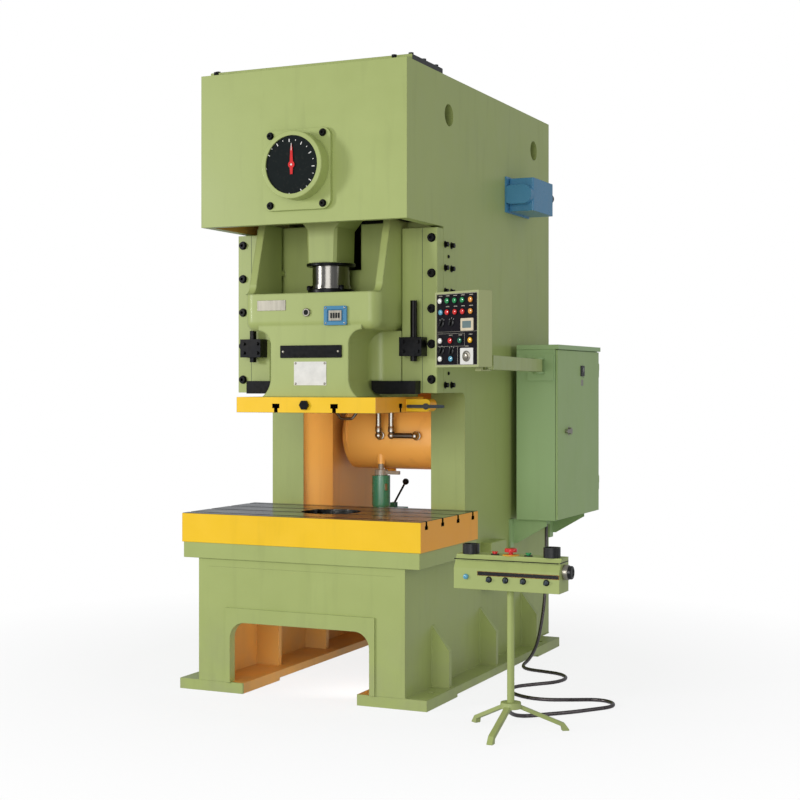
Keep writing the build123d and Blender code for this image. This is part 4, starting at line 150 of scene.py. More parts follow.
def noise(tree, scale, detail=3.0, stretch=None):
    """Noise on object coordinates, stretched along the axes if asked."""
    where = object_place(tree)
    if stretch is not None:
        where = place(tree, "ShaderNodeMapping", {"Vector": where, "Scale": stretch}).outputs[0]
    inputs = {"Vector": where, "Scale": scale, "Detail": detail, "Roughness": 0.55}
    return place(tree, "ShaderNodeTexNoise", inputs).outputs[0]


def new_group(name, inputs, outputs=("Color", "Roughness", "Height")):
    """A shader node group whose inputs start at the given values; returns it with its inner sockets."""
    kinds = {float: "NodeSocketFloat", 3: "NodeSocketVector", 4: "NodeSocketColor"}
    tree = bpy.data.node_groups.new(name, "ShaderNodeTree")
    for label, value in inputs.items():
        kind = kinds[float if isinstance(value, float) else len(value)]
        tree.interface.new_socket(name=label, in_out="INPUT", socket_type=kind).default_value = value
    for label in outputs:
        kind = kinds[4 if label == "Color" else float]
        tree.interface.new_socket(name=label, in_out="OUTPUT", socket_type=kind)
    given, out = tree.nodes.new("NodeGroupInput"), tree.nodes.new("NodeGroupOutput")
    return tree, given.outputs, out.inputs


def surface_out(tree, out, color, rough, height):
    """Links the three results of a surface group."""
    for label, value in (("Color", color), ("Roughness", rough), ("Height", height)):
        tree.links.new(value, out[label])
    return tree


# Shader node groups for the effects that several finishes share
def group_paint_film():
    """Brushed or sprayed enamel: uneven tone, run-down grime, dust near the floor, orange peel."""
    start = {"Color": linear(GREEN), "Mottle": 0.06, "Grime": 0.15, "Dust": 0.3, "Gloss": 0.38, "Peel": 0.4}
    tree, given, out = new_group("paint_film", start)
    broad = spread(tree, noise(tree, 1.3), 0.3, 0.7, -1.0, 1.0)
    patch = spread(tree, noise(tree, 8.0, 5.0), 0.3, 0.7, -1.0, 1.0)
    tone = weighted(tree, weighted(tree, patch, 0.4, broad), given["Mottle"], 1.0)
    runs = spread(tree, noise(tree, 1.0, 4.0, stretch=(16.0, 16.0, 1.6)), 0.55, 0.8)
    grime = product(tree, runs, given["Grime"])
    soiled = mix(tree, grime, scaled(tree, given["Color"], tone), linear(GRIME))
    low = spread(tree, along(tree, object_place(tree), Z), 0.0, 0.45, 1.0, 0.0)
    cloud = spread(tree, noise(tree, 5.0, 6.0), 0.38, 0.7)
    dusty = product(tree, low, cloud, given["Dust"])
    rough = weighted(tree, dusty, 0.25, weighted(tree, patch, 0.05, given["Gloss"]))
    peel = product(tree, noise(tree, 190.0, 2.0), given["Peel"])
    wave = weighted(tree, noise(tree, 14.0), 0.8, peel)
    return surface_out(tree, out, mix(tree, dusty, soiled, linear(DUST)), rough, wave)


def group_machined():
    """Ground or turned metal: fine scratches along one way, blotches of oil, small tone changes."""
    start = {"Color": linear(STEEL), "Lay": (4.0, 220.0, 220.0), "Grain": 0.12, "Oil": 0.2, "Gloss": 0.3}
    tree, given, out = new_group("machined_grain", start)
    inputs = {0: object_place(tree), 1: given["Lay"]}
    where = place(tree, "ShaderNodeVectorMath", inputs, operation="MULTIPLY").outputs[0]
    lines = place(tree, "ShaderNodeTexNoise", {"Vector": where, "Scale": 1.0, "Detail": 4.0}).outputs[0]
    centred = spread(tree, lines, 0.25, 0.75, -1.0, 1.0)
    toned = scaled(tree, given["Color"], weighted(tree, centred, given["Grain"], 1.0))
    oil = product(tree, spread(tree, noise(tree, 6.0, 5.0), 0.45, 0.72), given["Oil"])
    rough = weighted(tree, oil, -0.3, weighted(tree, centred, 0.08, given["Gloss"]))
    return surface_out(tree, out, mix(tree, oil, toned, linear(OIL)), rough, lines)


def group_cast_skin():
    """Sand-cast iron or steel: pebbled skin with soft lumps and darker hollows."""
    tree, given, out = new_group("cast_skin", {"Color": linear(CAST), "Gloss": 0.55})
    pebbles = noise(tree, 130.0, 4.0)
    toned = scaled(tree, given["Color"], spread(tree, pebbles, 0.25, 0.75, 0.75, 1.15))
    rough = weighted(tree, pebbles, 0.15, given["Gloss"])
    return surface_out(tree, out, toned, rough, weighted(tree, pebbles, 0.6, noise(tree, 16.0)))


def group_moulded():
    """Moulded plastic: faint mottling, fine grain, a little dust."""
    tree, given, out = new_group("moulded_grain", {"Color": linear(BLACK), "Gloss": 0.4, "Grain": 0.5})
    fine = noise(tree, 420.0, 2.0)
    toned = scaled(tree, given["Color"], spread(tree, noise(tree, 22.0), 0.3, 0.7, 0.93, 1.07))
    dust = spread(tree, noise(tree, 60.0, 4.0), 0.55, 0.85, 0.0, 0.08)
    rough = weighted(tree, dust, 1.5, given["Gloss"])
    height = product(tree, fine, given["Grain"])
    return surface_out(tree, out, mix(tree, dust, toned, linear(DUST)), rough, height)


def group_between():
    """A mask that is 1 where a value lies between two limits, with a soft edge."""
    tree, given, out = new_group("between_limits", {"Value": 0.0, "Low": 0.0, "High": 1.0}, ("Mask",))
    rising = math_node(tree, "SUBTRACT", given["Value"], given["Low"])
    falling = math_node(tree, "SUBTRACT", given["High"], given["Value"])
    edge = math_node(tree, "DIVIDE", math_node(tree, "MINIMUM", rising, falling), SOFT_EDGE)
    tree.links.new(math_node(tree, "ADD", edge, 0.5, clamp=True), out["Mask"])
    return tree


PAINT_FILM = group_paint_film()
MACHINED = group_machined()
CAST_SKIN = group_cast_skin()
MOULDED = group_moulded()
BETWEEN = group_between()


# Materials
def material_with(name, group, values, bump, distance=0.001, metallic=0.0, coat=0.0, edge=0.0, flush=None):
    """A material whose colour, roughness and bump come from one of the groups."""
    material = bpy.data.materials.new(name)
    tree = empty_tree(material)
    inputs = {key: value(tree) if callable(value) else value for key, value in values.items()}
    surface = place(tree, "ShaderNodeGroup", inputs, node_tree=group).outputs
    inputs = {"Strength": bump, "Distance": distance, "Height": surface["Height"]}
    relief = place(tree, "ShaderNodeBump", inputs)
    if edge:
        normal = place(tree, "ShaderNodeBevel", {"Radius": edge}, samples=3).outputs[0]
        if flush:
            plain = place(tree, "ShaderNodeNewGeometry").outputs["Normal"]
            normal = mix(tree, flush(tree), normal, plain, "VECTOR")
        tree.links.new(normal, relief.inputs["Normal"])
    look = {"Base Color": surface["Color"], "Roughness": surface["Roughness"], "Normal": relief.outputs[0]}
    look.update({"Metallic": metallic, "Coat Weight": coat})
    shader = place(tree, "ShaderNodeBsdfPrincipled", look)
    place(tree, "ShaderNodeOutputMaterial", {0: shader.outputs[0]})
    return material


def shader_of(material):
    return next(n for n in material.node_tree.nodes if n.type == "BSDF_PRINCIPLED")


def enamel(
    name, color, gloss=0.4, mottle=0.035, grime=0.1, dust=0.35, peel=0.35, coat=0.05, edge=0.003, flush=None
):
    """Machine enamel; color is a display colour or a function that returns a socket."""
    tint = color if callable(color) else linear(color)
    values = {"Color": tint, "Mottle": mottle, "Grime": grime, "Dust": dust, "Gloss": gloss, "Peel": peel}
    return material_with(name, PAINT_FILM, values, bump=0.12, coat=coat, edge=edge, flush=flush)


def two_tone(first, second, mask):
    """A colour socket that is the second colour where the mask is 1."""
    return lambda tree: mix(tree, mask(tree), linear(first), linear(second))


def green_outside(name, mask, flush=None):
    """Green enamel that is orange where the mask is 1."""
    return enamel(name, two_tone(GREEN, ORANGE, mask), flush=flush)


def machined(name, color=STEEL, lay=(4, 220, 220), grain=0.12, oil=0.15, gloss=0.28):
    """Bare metal; lay is the fineness of its scratches along the three axes."""
    values = {"Color": linear(color), "Lay": lay, "Grain": grain, "Oil": oil, "Gloss": gloss}
    return material_with(name, MACHINED, values, bump=0.08, metallic=1.0, distance=0.0005)


def plastic(name, color, gloss=0.4, grain=0.5, coat=0.0):
    """Moulded plastic or rubber."""
    values = {"Color": linear(color), "Gloss": gloss, "Grain": grain}
    return material_with(name, MOULDED, values, bump=0.08, coat=coat)


def matt(name, color):
    """A printed face with almost no shine."""
    material = plastic(name, color, gloss=0.7, grain=0.2)
    shader_of(material).inputs["Specular IOR Level"].default_value = 0.12
    return material


def lens(name, color):
    """A coloured lamp lens or button cap, glossy."""
    return plastic(name, color, gloss=0.18, grain=0.1, coat=0.6)


# Masks, in metres of the machine's frame
inner_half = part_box("deck_plates")[1].x
column_face_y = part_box("throat_columns")[0].y
frame_back_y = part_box("side_plate_left")[1].y
head_top_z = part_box("deck_plates")[1].z
cover_top_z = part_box("top_cover")[1].z
bowl_foot_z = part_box("filter_bowl")[0].z
bolster_low, bolster_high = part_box("bolster")
plate_low, plate_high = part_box("slide_plate")
PLATE_HALF = 0.384
SEAM_HALF = 0.006
RAIL_FRONT_Y = -0.955
BOWL_HEIGHT, BOWL_HEAD_TOP = 0.182, 1.2
COVER_BOLT_HEIGHT = 0.011


def between(tree, value, low=-FAR, high=FAR):
    """1 where a value lies between two limits."""
    inputs = {"Value": value, "Low": low, "High": high}
    return place(tree, "ShaderNodeGroup", inputs, node_tree=BETWEEN).outputs["Mask"]


def coordinate(tree, axis):
    return along(tree, object_place(tree), axis)


def from_middle(tree):
    """The distance from the machine's middle plane."""
    return math_node(tree, "ABSOLUTE", coordinate(tree, X))


def facing(tree, axis):
    """How far the surface looks along an axis, from -1 to 1."""
    return along(tree, place(tree, "ShaderNodeNewGeometry").outputs["True Normal"], axis)


def turned_to(tree, axis, sign=1.0):
    """1 where the surface faces one way along an axis."""
    return spread(tree, product(tree, facing(tree, axis), sign), *TURN_LIMITS)


def opposite(tree, mask):
    return math_node(tree, "SUBTRACT", 1.0, mask)


def inner_side_mask(tree):
    """1 on the inner faces of the side plates."""
    inside = between(tree, from_middle(tree), high=inner_half + EDGE)
    sideways = math_node(tree, "ABSOLUTE", facing(tree, X))
    return product(tree, inside, spread(tree, sideways, *TURN_LIMITS))


def column_inner_mask(tree):
    """1 on all faces of the throat columns but the front ones."""
    return opposite(tree, between(tree, coordinate(tree, Y), high=column_face_y + EDGE))


def inside_back_mask(tree):
    """1 on everything ahead of the rear face."""
    return between(tree, coordinate(tree, Y), high=frame_back_y - EDGE)


def front_seam_mask(tree):
    """1 on the front faces where the side plates are welded flush to the front ones."""
    seam = between(tree, from_middle(tree), inner_half - SEAM_HALF, inner_half + SEAM_HALF)
    return product(tree, seam, turned_to(tree, Y, -1.0))


def bowl_head_mask(tree):
    """1 on the metal head of the filter bowl."""
    return between(tree, coordinate(tree, Z), bowl_foot_z + BOWL_HEIGHT, BOWL_HEAD_TOP)


def cover_dark_mask(tree):
    """1 on the right side and the bolts of the top cover, 0 on its front edge."""
    bolts = between(tree, coordinate(tree, Z), low=cover_top_z - COVER_BOLT_HEIGHT)
    return math_node(tree, "MAXIMUM", turned_to(tree, X), bolts)


def rail_inner_mask(tree):
    """1 on the foot rails between the side plates, behind the front plate."""
    inside = between(tree, from_middle(tree), high=inner_half)
    return product(tree, inside, between(tree, coordinate(tree, Y), low=RAIL_FRONT_Y))


def plate_back_mask(tree):
    """1 on the faces that look to the back."""
    return turned_to(tree, Y)


def deck_inner_mask(tree):
    """1 below the top face of the head, but for the front edges."""
    below = between(tree, coordinate(tree, Z), high=head_top_z - EDGE)
    return product(tree, below, opposite(tree, turned_to(tree, Y, -1.0)))


def ground_mask(tree, ground_face, half, low, high, below, above):
    """1 on a ground face, and on the walls of the slots and holes inside a block's outline."""
    within_x = between(tree, from_middle(tree), high=half - EDGE)
    within_y = between(tree, coordinate(tree, Y), low.y + EDGE, high.y - EDGE)
    within_z = between(tree, coordinate(tree, Z), below, above)
    return math_node(tree, "MAXIMUM", ground_face, product(tree, within_x, within_y, within_z))


def bolster_steel_mask(tree):
    """1 on the bolster's ground top, in its slots and in its bore."""
    top = between(tree, coordinate(tree, Z), low=bolster_high.z - 2 * EDGE)
    foot = bolster_low.z + EDGE
    return ground_mask(tree, top, bolster_high.x, bolster_low, bolster_high, foot, FAR)


def slide_plate_steel_mask(tree):
    """1 on the slide plate's ground underside, in its slots and in its hole."""
    bottom = between(tree, coordinate(tree, Z), high=plate_low.z + EDGE)
    top = plate_high.z - EDGE
    return ground_mask(tree, bottom, PLATE_HALF, plate_low, plate_high, -FAR, top)


def machined_face_material(name, mask):
    """Yellow enamel outside, a deeper yellow on the faces that look right as painted shade, and ground steel
    where the mask is 1.
    """
    # The faces that look right get the deeper yellow: painted shade on the right-hand sides.
    tint = two_tone(YELLOW, YELLOW_PAINTED_SHADE, lambda tree: turned_to(tree, X))
    material = enamel(name, tint, gloss=0.34, mottle=0.03, grime=0.08, dust=0.0, coat=0.0)
    tree = material.node_tree
    shader = shader_of(material)
    paint = next(n for n in tree.nodes if n.type == "GROUP" and n.node_tree == PAINT_FILM)
    look = {"Color": linear((0.43, 0.43, 0.42)), "Lay": (3.0, 180.0, 180.0), "Oil": 0.35, "Gloss": 0.24}
    metal = place(tree, "ShaderNodeGroup", look, node_tree=MACHINED)
    bare = mask(tree)
    color, rough = (
        mix(tree, bare, paint.outputs[label], metal.outputs[label], kind)
        for label, kind in (("Color", "RGBA"), ("Roughness", "FLOAT"))
    )
    for label, value in (("Base Color", color), ("Roughness", rough), ("Metallic", bare)):
        tree.links.new(value, shader.inputs[label])
    return material


GREEN_PAINT = enamel("green_enamel", GREEN)
SIDE_PAINT = green_outside("side_plate_enamel", inner_side_mask, front_seam_mask)
COLUMN_PAINT = green_outside("column_enamel", column_inner_mask)
BACK_PAINT = green_outside("cross_plate_enamel", inside_back_mask)
BASE_FRONT_PAINT = green_outside("base_front_enamel", plate_back_mask, front_seam_mask)
HEAD_FRONT_PAINT = green_outside("head_front_enamel", plate_back_mask, front_seam_mask)
DECK_PAINT = green_outside("deck_enamel", deck_inner_mask, front_seam_mask)
RAIL_PAINT = green_outside("foot_rail_enamel", rail_inner_mask)
INNER_PAINT = enamel("inner_enamel", ORANGE, grime=0.2)
SLIDE_PAINT = enamel("slide_enamel", GREEN, edge=0.012)
SPRAYED = {"gloss": 0.42, "mottle": 0.02, "grime": 0.05, "peel": 0.8}
DOOR_PAINT = enamel("door_enamel", GREEN_DOOR, **SPRAYED)
CABINET_PAINT = enamel("cabinet_enamel", CABINET_GREEN_PAINTED_LIGHT, **SPRAYED)
PENDANT_PAINT = enamel("pendant_enamel", GREEN_PENDANT, mottle=0.02, grime=0.05)
BOLSTER_FINISH = machined_face_material("bolster_finish", bolster_steel_mask)
SLIDE_PLATE_FINISH = machined_face_material("slide_plate_finish", slide_plate_steel_mask)
BLUE_PAINT = enamel("blue_enamel", BLUE, gloss=0.3, mottle=0.05, grime=0.12, dust=0.0)
MOTOR_PAINT = enamel("motor_enamel", (0.42, 0.47, 0.4), dust=0.0)
COVER_PAINT = enamel("cover_enamel", two_tone(GREEN, (0.09, 0.09, 0.09), cover_dark_mask))
BOWL_TINT = two_tone((0.2, 0.47, 0.36), (0.52, 0.5, 0.45), bowl_head_mask)
GREEN_BOWL = enamel("bowl_green", BOWL_TINT, gloss=0.26, coat=0.3)
TURNED_STEEL = machined("turned_steel", (0.46, 0.45, 0.43), lay=(200, 200, 4), gloss=0.2)
GROUND_STEEL = machined("ground_steel")
BLACKENED = machined("blackened_steel", DARK_STEEL, lay=(60, 60, 60), oil=0.3, gloss=0.38)
CAST_FINISH = material_with("cast_iron_skin", CAST_SKIN, {"Color": linear(CAST)}, bump=0.35, metallic=0.6)
BRONZE_FINISH = machined("bronze_finish", BRONZE, lay=(90, 90, 90))
CONDUIT_FINISH = machined(
    "conduit_wrap", (0.4, 0.375, 0.38), lay=(140, 140, 90), grain=0.5, oil=0.4, gloss=0.36
)
LEVER_STEEL = machined("lever_steel", (0.3, 0.33, 0.35), lay=(8, 120, 120), gloss=0.35)
PIPE_FINISH = machined("pipe_steel", (0.33, 0.32, 0.3), lay=(60, 60, 60), oil=0.3, gloss=0.36)
SATIN_PLATE = machined(
    "satin_plate", (0.64, 0.62, 0.57), lay=(120, 120, 8), grain=0.06, oil=0.05, gloss=0.34
)
CHROME = machined(
    "chromed_fittings", (0.6, 0.6, 0.58), lay=(40, 40, 40), grain=0.08, oil=0.25, gloss=0.24
)
BLACK_PLASTIC = plastic("black_plastic", BLACK)
RUBBER = plastic("belt_rubber", (0.055, 0.055, 0.055), gloss=0.7, grain=1.0)
DIAL_BLACK = matt("dial_black", (0.085, 0.11, 0.11))
PANEL_BLACK = matt("panel_black", (0.08, 0.07, 0.095))
WHITE_PLATE = plastic("white_plate", (0.9, 0.89, 0.86), gloss=0.35, grain=0.2)
CREAM_PLATE = plastic("cream_plate", (0.86, 0.8, 0.68), grain=0.2)
SHADOW_GREEN = plastic("shadow_green", (0.4, 0.45, 0.29), gloss=0.5)
SCREEN_GLASS = plastic("screen_glass", (0.42, 0.5, 0.5), gloss=0.12, grain=0.1, coat=0.5)
YELLOW_PLASTIC = plastic("yellow_ring", (0.93, 0.68, 0.18), gloss=0.35)
DARK_GLOSS = plastic("socket_dark", (0.05, 0.048, 0.052), gloss=0.25)
RED_LENS = lens("red_cap", (0.86, 0.13, 0.13))
GREEN_LENS = lens("green_cap", (0.06, 0.56, 0.3))
WHITE_LENS = lens("white_cap", (0.92, 0.91, 0.88))
YELLOW_LENS = lens("yellow_cap", (0.96, 0.72, 0.12))
AMBER_LENS = lens("amber_cap", (0.93, 0.61, 0.24))
BLUE_LENS = lens("blue_cap", (0.36, 0.64, 0.74))
DARK_GREEN_LENS = lens("dark_green_cap", (0.06, 0.4, 0.29))

# Pieces that aren't plain green, by finish
FINISHED_NODES = (
    (SIDE_PAINT, "side_plate_left", "side_plate_right"),
    (BASE_FRONT_PAINT, "base_front_plate"),
    (HEAD_FRONT_PAINT, "head_front_plate"),
    (BACK_PAINT, "cross_plates"),
    (DECK_PAINT, "deck_plates"),
    (COLUMN_PAINT, "throat_columns"),
    (RAIL_PAINT, "foot_rails"),
    (COVER_PAINT, "top_cover"),
    (INNER_PAINT, "air_tank"),
    (SLIDE_PAINT, "ram"),
    (BOLSTER_FINISH, "bolster"),
    (SLIDE_PLATE_FINISH, "slide_plate"),
    (MOTOR_PAINT, "drive_motor"),
    (BLUE_PAINT, "valve_box", "die_height_counter"),
    (CABINET_PAINT, "cabinet_shell", "cabinet_brackets"),
    (DOOR_PAINT, "cabinet_door"),
    (PENDANT_PAINT, "pendant_box"),
    (GREEN_BOWL, "filter_bowl", "lube_pump"),
    (PIPE_FINISH, "tank_pipes"),
    # The bearing plates take the dark cast-iron finish partly as painted shade, so that they read black
    # behind the rod.
    (CAST_FINISH, "bearing_plates", "drive_gear", "flywheel", "motor_pulley"),
    (BLACKENED, "frame_screws", "stop_brackets", "ram_fittings", "pump_lever"),
    (BRONZE_FINISH, "bronze_bearings"),
    (TURNED_STEEL, "adjusting_screw"),
    (GROUND_STEEL, "crankshaft", "pinion_shaft"),
    (LEVER_STEEL, "clamp_lever"),
    (SATIN_PLATE, "door_handle"),
    (DIAL_BLACK, "dial_face"),
    (RUBBER, "drive_belts"),
    (BLACK_PLASTIC, "pedestal_fittings", "valve_knob", "pendant_controls"),
    (BLACK_PLASTIC, "palm_button_left", "palm_button_right"),
    (GREEN_LENS, "start_button"),
    (RED_LENS, "dial_pointer", "stop_button", "emergency_stop"),
)


def dress_cad_nodes():
    """Gives every carried-over piece its finish."""
    finish_of = {name: finish for finish, *names in FINISHED_NODES for name in names}
    for name, piece in nodes.items():
        piece.data.materials.clear()
        piece.data.materials.append(finish_of.get(name, GREEN_PAINT))


dress_cad_nodes()


def linked(name, data):
    """A new object in the scene."""
    piece = bpy.data.objects.new(name, data)
    bpy.context.scene.collection.objects.link(piece)
    return piece


# The conduit: one spline through the route's points, in metres
CONDUIT_DIAMETER = 0.018
STAND_TOP = Vector((1.165, -1.177, 0.119))
CONDUIT_ARRIVAL = Vector((-0.4, 0.86, -0.4)).normalized()
STAND_GLAND_FACE = STAND_TOP + CONDUIT_ARRIVAL * 0.076
CONDUIT_DROP = [
    (0.7, 0.655, 0.737), (0.7, 0.655, 0.6), (0.702, 0.64, 0.455), (0.706, 0.608, 0.312),
    (0.705, 0.552, 0.182), (0.709, 0.468, 0.084), (0.704, 0.362, 0.026),
]
CONDUIT_ON_FLOOR = [
    (0.699, 0.255), (0.756, 0.172), (0.862, 0.152), (0.968, 0.122), (1.03, 0.028), (1.012, -0.09),
    (0.928, -0.184), (0.85, -0.285), (0.866, -0.398), (0.958, -0.49), (1.08, -0.522), (1.205, -0.47),
    (1.325, -0.405), (1.41, -0.441), (1.437, -0.529), (1.372, -0.622), (1.296, -0.724), (1.205, -0.815),
]
BEFORE_STAND = STAND_GLAND_FACE + CONDUIT_ARRIVAL * 0.095
CONDUIT_RISE = [(1.114, -0.925, 0.012), tuple(BEFORE_STAND), tuple(STAND_GLAND_FACE)]
CONDUIT_ROUTE = CONDUIT_DROP + [(x, y, CONDUIT_DIAMETER / 2) for x, y in CONDUIT_ON_FLOOR] + CONDUIT_RISE


def build_conduit():
    """The conduit as one open spline with a round section."""
    curve = bpy.data.curves.new("flexible_conduit", "CURVE")
    curve.dimensions = "3D"
    spline = curve.splines.new("NURBS")
    spline.points.add(len(CONDUIT_ROUTE) - 1)
    for point, spot in zip(spline.points, CONDUIT_ROUTE):
        point.co = (*spot, 1.0)
    spline.order_u = 3
    spline.use_endpoint_u = True
    spline.resolution_u = 12
    curve.bevel_depth = CONDUIT_DIAMETER / 2
    curve.bevel_resolution = 4
    curve.use_fill_caps = True
    piece = linked("flexible_conduit", curve)
    piece.data.materials.append(CONDUIT_FINISH)
    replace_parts(piece, "conduit")
    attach(piece, "frame")


# Shapes of the small fittings, in millimetres on the face that carries them. Each is a row of rings.
MM = 0.001
SMOOTH_BELOW = math.radians(35)
CORNER_STEPS = 4


def seat(x, y, z, right, out):
    """The place of a face: x runs to its right, z out of it; the point is given in millimetres."""
    right, out = Vector(right).normalized(), Vector(out).normalized()
    turn = Matrix((right, out.cross(right), out)).transposed().to_4x4()
    return Matrix.Translation(Vector((x, y, z)) * MM) @ turn


def front_seat(y):
    """A face that looks to the front; x and z keep their places."""
    return seat(0, y, 0, (1, 0, 0), (0, -1, 0))


def right_seat(x):
    """A face that looks to the right."""
    return seat(x, 0, 0, (0, 1, 0), (1, 0, 0))


def top_seat(z=0.0):
    """A face that looks up."""
    return seat(0, 0, z, (1, 0, 0), (0, 0, 1))


def spun(where, x, y, level, degrees):
    """A seat moved to a spot of another one and turned about its z."""
    spot = Matrix.Translation(Vector((x, y, level)) * MM)
    return where @ spot @ Matrix.Rotation(math.radians(degrees), 4, "Z")


def turned(where, x, y, profile, sides=24):
    """A turned part: radius and height pairs, spun about the seat's z."""
    angles = [2 * math.pi * i / sides for i in range(sides)]
    return [
        [where @ (Vector((x + radius * math.cos(a), y + radius * math.sin(a), height)) * MM) for a in angles]
        for radius, height in profile
    ]


def rounded_outline(width, height, corner):
    """Points round a rectangle with rounded corners, about its middle."""
    corner = max(min(corner, width / 2 - 0.01, height / 2 - 0.01), 0.01)
    points = []
    for quarter, (sx, sy) in enumerate(((1, 1), (-1, 1), (-1, -1), (1, -1))):
        for step in range(CORNER_STEPS + 1):
            angle = math.pi / 2 * (quarter + step / CORNER_STEPS)
            cx, cy = sx * (width / 2 - corner), sy * (height / 2 - corner)
            points.append((cx + corner * math.cos(angle), cy + corner * math.sin(angle)))
    return points


def outline_ring(where, x, y, level, width, height, corner):
    """A rounded outline, laid on a seat at some height."""
    outline = rounded_outline(width, height, corner)
    return [where @ (Vector((x + px, y + py, level)) * MM) for px, py in outline]


def slab(where, x, y, width, height, depth, corner, edge, base=0.0):
    """A plate or block with rounded corners and a chamfered rim, standing on the seat."""
    return [
        outline_ring(where, x, y, level, width - 2 * inset, height - 2 * inset, corner - inset)
        for inset, level in ((0.0, base), (0.0, base + depth - edge), (edge, base + depth))
    ]


def frame_rim(where, x, y, width, height, depth, wall, corner):
    """A raised rectangular rim, open in its middle; its last ring is its first."""
    rings = [
        outline_ring(where, x, y, level, width - 2 * inset, height - 2 * inset, corner)
        for inset, level in ((0.0, 0.0), (0.0, depth), (wall, depth), (wall, 0.0))
    ]
    return rings + rings[:1]


def skin(shape, rings):
    """Skins a row of rings and caps both ends, unless it comes back to its first ring."""
    closed = rings[0] is rings[-1]
    rows = [[shape.verts.new(point) for point in ring] for ring in (rings[:-1] if closed else rings)]
    if closed:
        rows.append(rows[0])
    for row, after in zip(rows, rows[1:]):
        for i, vert in enumerate(row):
            j = (i + 1) % len(row)
            shape.faces.new((vert, row[j], after[j], after[i]))
    if not closed:
        shape.faces.new(list(reversed(rows[0])))
        shape.faces.new(rows[-1])


def mesh_of(name, parts):
    """One mesh of some parts, with its faces turned outwards."""
    shape = bmesh.new()
    for rings in parts:
        skin(shape, rings)
    bmesh.ops.recalc_face_normals(shape, faces=shape.faces)
    mesh = bpy.data.meshes.new(name)
    shape.to_mesh(mesh)
    shape.free()
    return mesh


def finished(name, mesh, finish, body, smooth=True):
    """Links a mesh as a piece, gives it its finish and its body."""
    if smooth:
        mesh.polygons.foreach_set("use_smooth", [True] * len(mesh.polygons))
        mesh.set_sharp_from_angle(angle=SMOOTH_BELOW)
    mesh.materials.clear()
    mesh.materials.append(finish)
    piece = linked(name, mesh)
    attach(piece, body)
    return piece


def piece_of(name, finish, body, *parts, slot_name=None):
    """A rounded piece with smooth shading."""
    return finished(name, mesh_of(name, parts), finish, body)


def flat_piece(name, finish, body, *parts, slot_name=None):
    """A piece of flat plates with flat shading."""
    return finished(name, mesh_of(name, parts), finish, body, smooth=False)


# Repeated parts are set out with geometry nodes and turned into plain mesh
def repeat_tree():
    """Sets a copy of one part on every point, makes the copies real and gives them a finish."""
    tree = bpy.data.node_groups.new("set_out_parts", "GeometryNodeTree")
    sockets = {}
    kinds = {"Places": "Geometry", "Part": "Object", "Turn": "Rotation", "Finish": "Material"}
    for label, kind in kinds.items():
        socket = tree.interface.new_socket(name=label, in_out="INPUT", socket_type="NodeSocket" + kind)
        sockets[label] = socket.identifier
    tree.interface.new_socket(name="Parts", in_out="OUTPUT", socket_type="NodeSocketGeometry")
    given = tree.nodes.new("NodeGroupInput").outputs
    out = tree.nodes.new("NodeGroupOutput")
    source = place(tree, "GeometryNodeObjectInfo", {"Object": given["Part"]})
    spots = {"Points": given["Places"], "Instance": source.outputs["Geometry"], "Rotation": given["Turn"]}
    copies = place(tree, "GeometryNodeInstanceOnPoints", spots)
    whole = place(tree, "GeometryNodeRealizeInstances", {0: copies.outputs[0]})
    inputs = {"Geometry": whole.outputs[0], "Material": given["Finish"]}
    dressed = place(tree, "GeometryNodeSetMaterial", inputs)
    tree.links.new(dressed.outputs[0], out.inputs["Parts"])
    return tree, sockets


SET_OUT, SET_OUT_SOCKETS = repeat_tree()
QUARTER = math.radians(90)
FLAT_UP, TO_FRONT, TO_BACK = (0.0, 0.0, 0.0), (QUARTER, 0.0, 0.0), (-QUARTER, 0.0, 0.0)
TO_RIGHT, TO_LEFT = (0.0, QUARTER, 0.0), (0.0, -QUARTER, 0.0)


def set_out(name, finish, body, turn, sides, profile, spots):
    """Copies of one small turned part on all its spots, as one piece. Spots are in millimetres."""
    part = linked(name + "_part", mesh_of(name + "_part", [turned(Matrix.Identity(4), 0, 0, profile, sides)]))
    places = bpy.data.meshes.new(name + "_places")
    places.from_pydata([Vector(spot) * MM for spot in spots], [], [])
    holder = linked(name + "_places", places)
    modifier = holder.modifiers.new("set_out", "NODES")
    modifier.node_group = SET_OUT
    for label, value in (("Part", part), ("Turn", turn), ("Finish", finish)):
        modifier[SET_OUT_SOCKETS[label]] = value
    bpy.context.view_layer.update()
    depsgraph = bpy.context.evaluated_depsgraph_get()
    mesh = bpy.data.meshes.new_from_object(holder.evaluated_get(depsgraph))
    mesh.name = name
    holder.modifiers.clear()
    for old in (holder, part):
        data = old.data
        bpy.data.objects.remove(old)
        bpy.data.meshes.remove(data)
    return finished(name, mesh, finish, body)


# Pendant: black panel, rim, lamps, switches and screen on its turned face
ARM_PIVOT, ARM_REACH, ARM_ANGLE = (741, 390), 1272, 8.7
PENDANT_ANGLE, PENDANT_FOOT = 24.8, 1599
PANEL_LEFT, PANEL_AHEAD = 81 - 295, 45 + 85 - 4


def pendant_seat():
    """The pendant's recessed face, x from its left edge, y from its foot."""
    swing, turn = math.radians(ARM_ANGLE), math.radians(PENDANT_ANGLE)
    swivel_x = ARM_PIVOT[0] + ARM_REACH * math.sin(swing)
    swivel_y = ARM_PIVOT[1] - ARM_REACH * math.cos(swing)
    right = Vector((math.cos(turn), -math.sin(turn), 0))
    back = Vector((math.sin(turn), math.cos(turn), 0))
    corner = Vector((swivel_x, swivel_y, PENDANT_FOOT)) + right * PANEL_LEFT - back * PANEL_AHEAD
    return seat(*corner, right, -back)


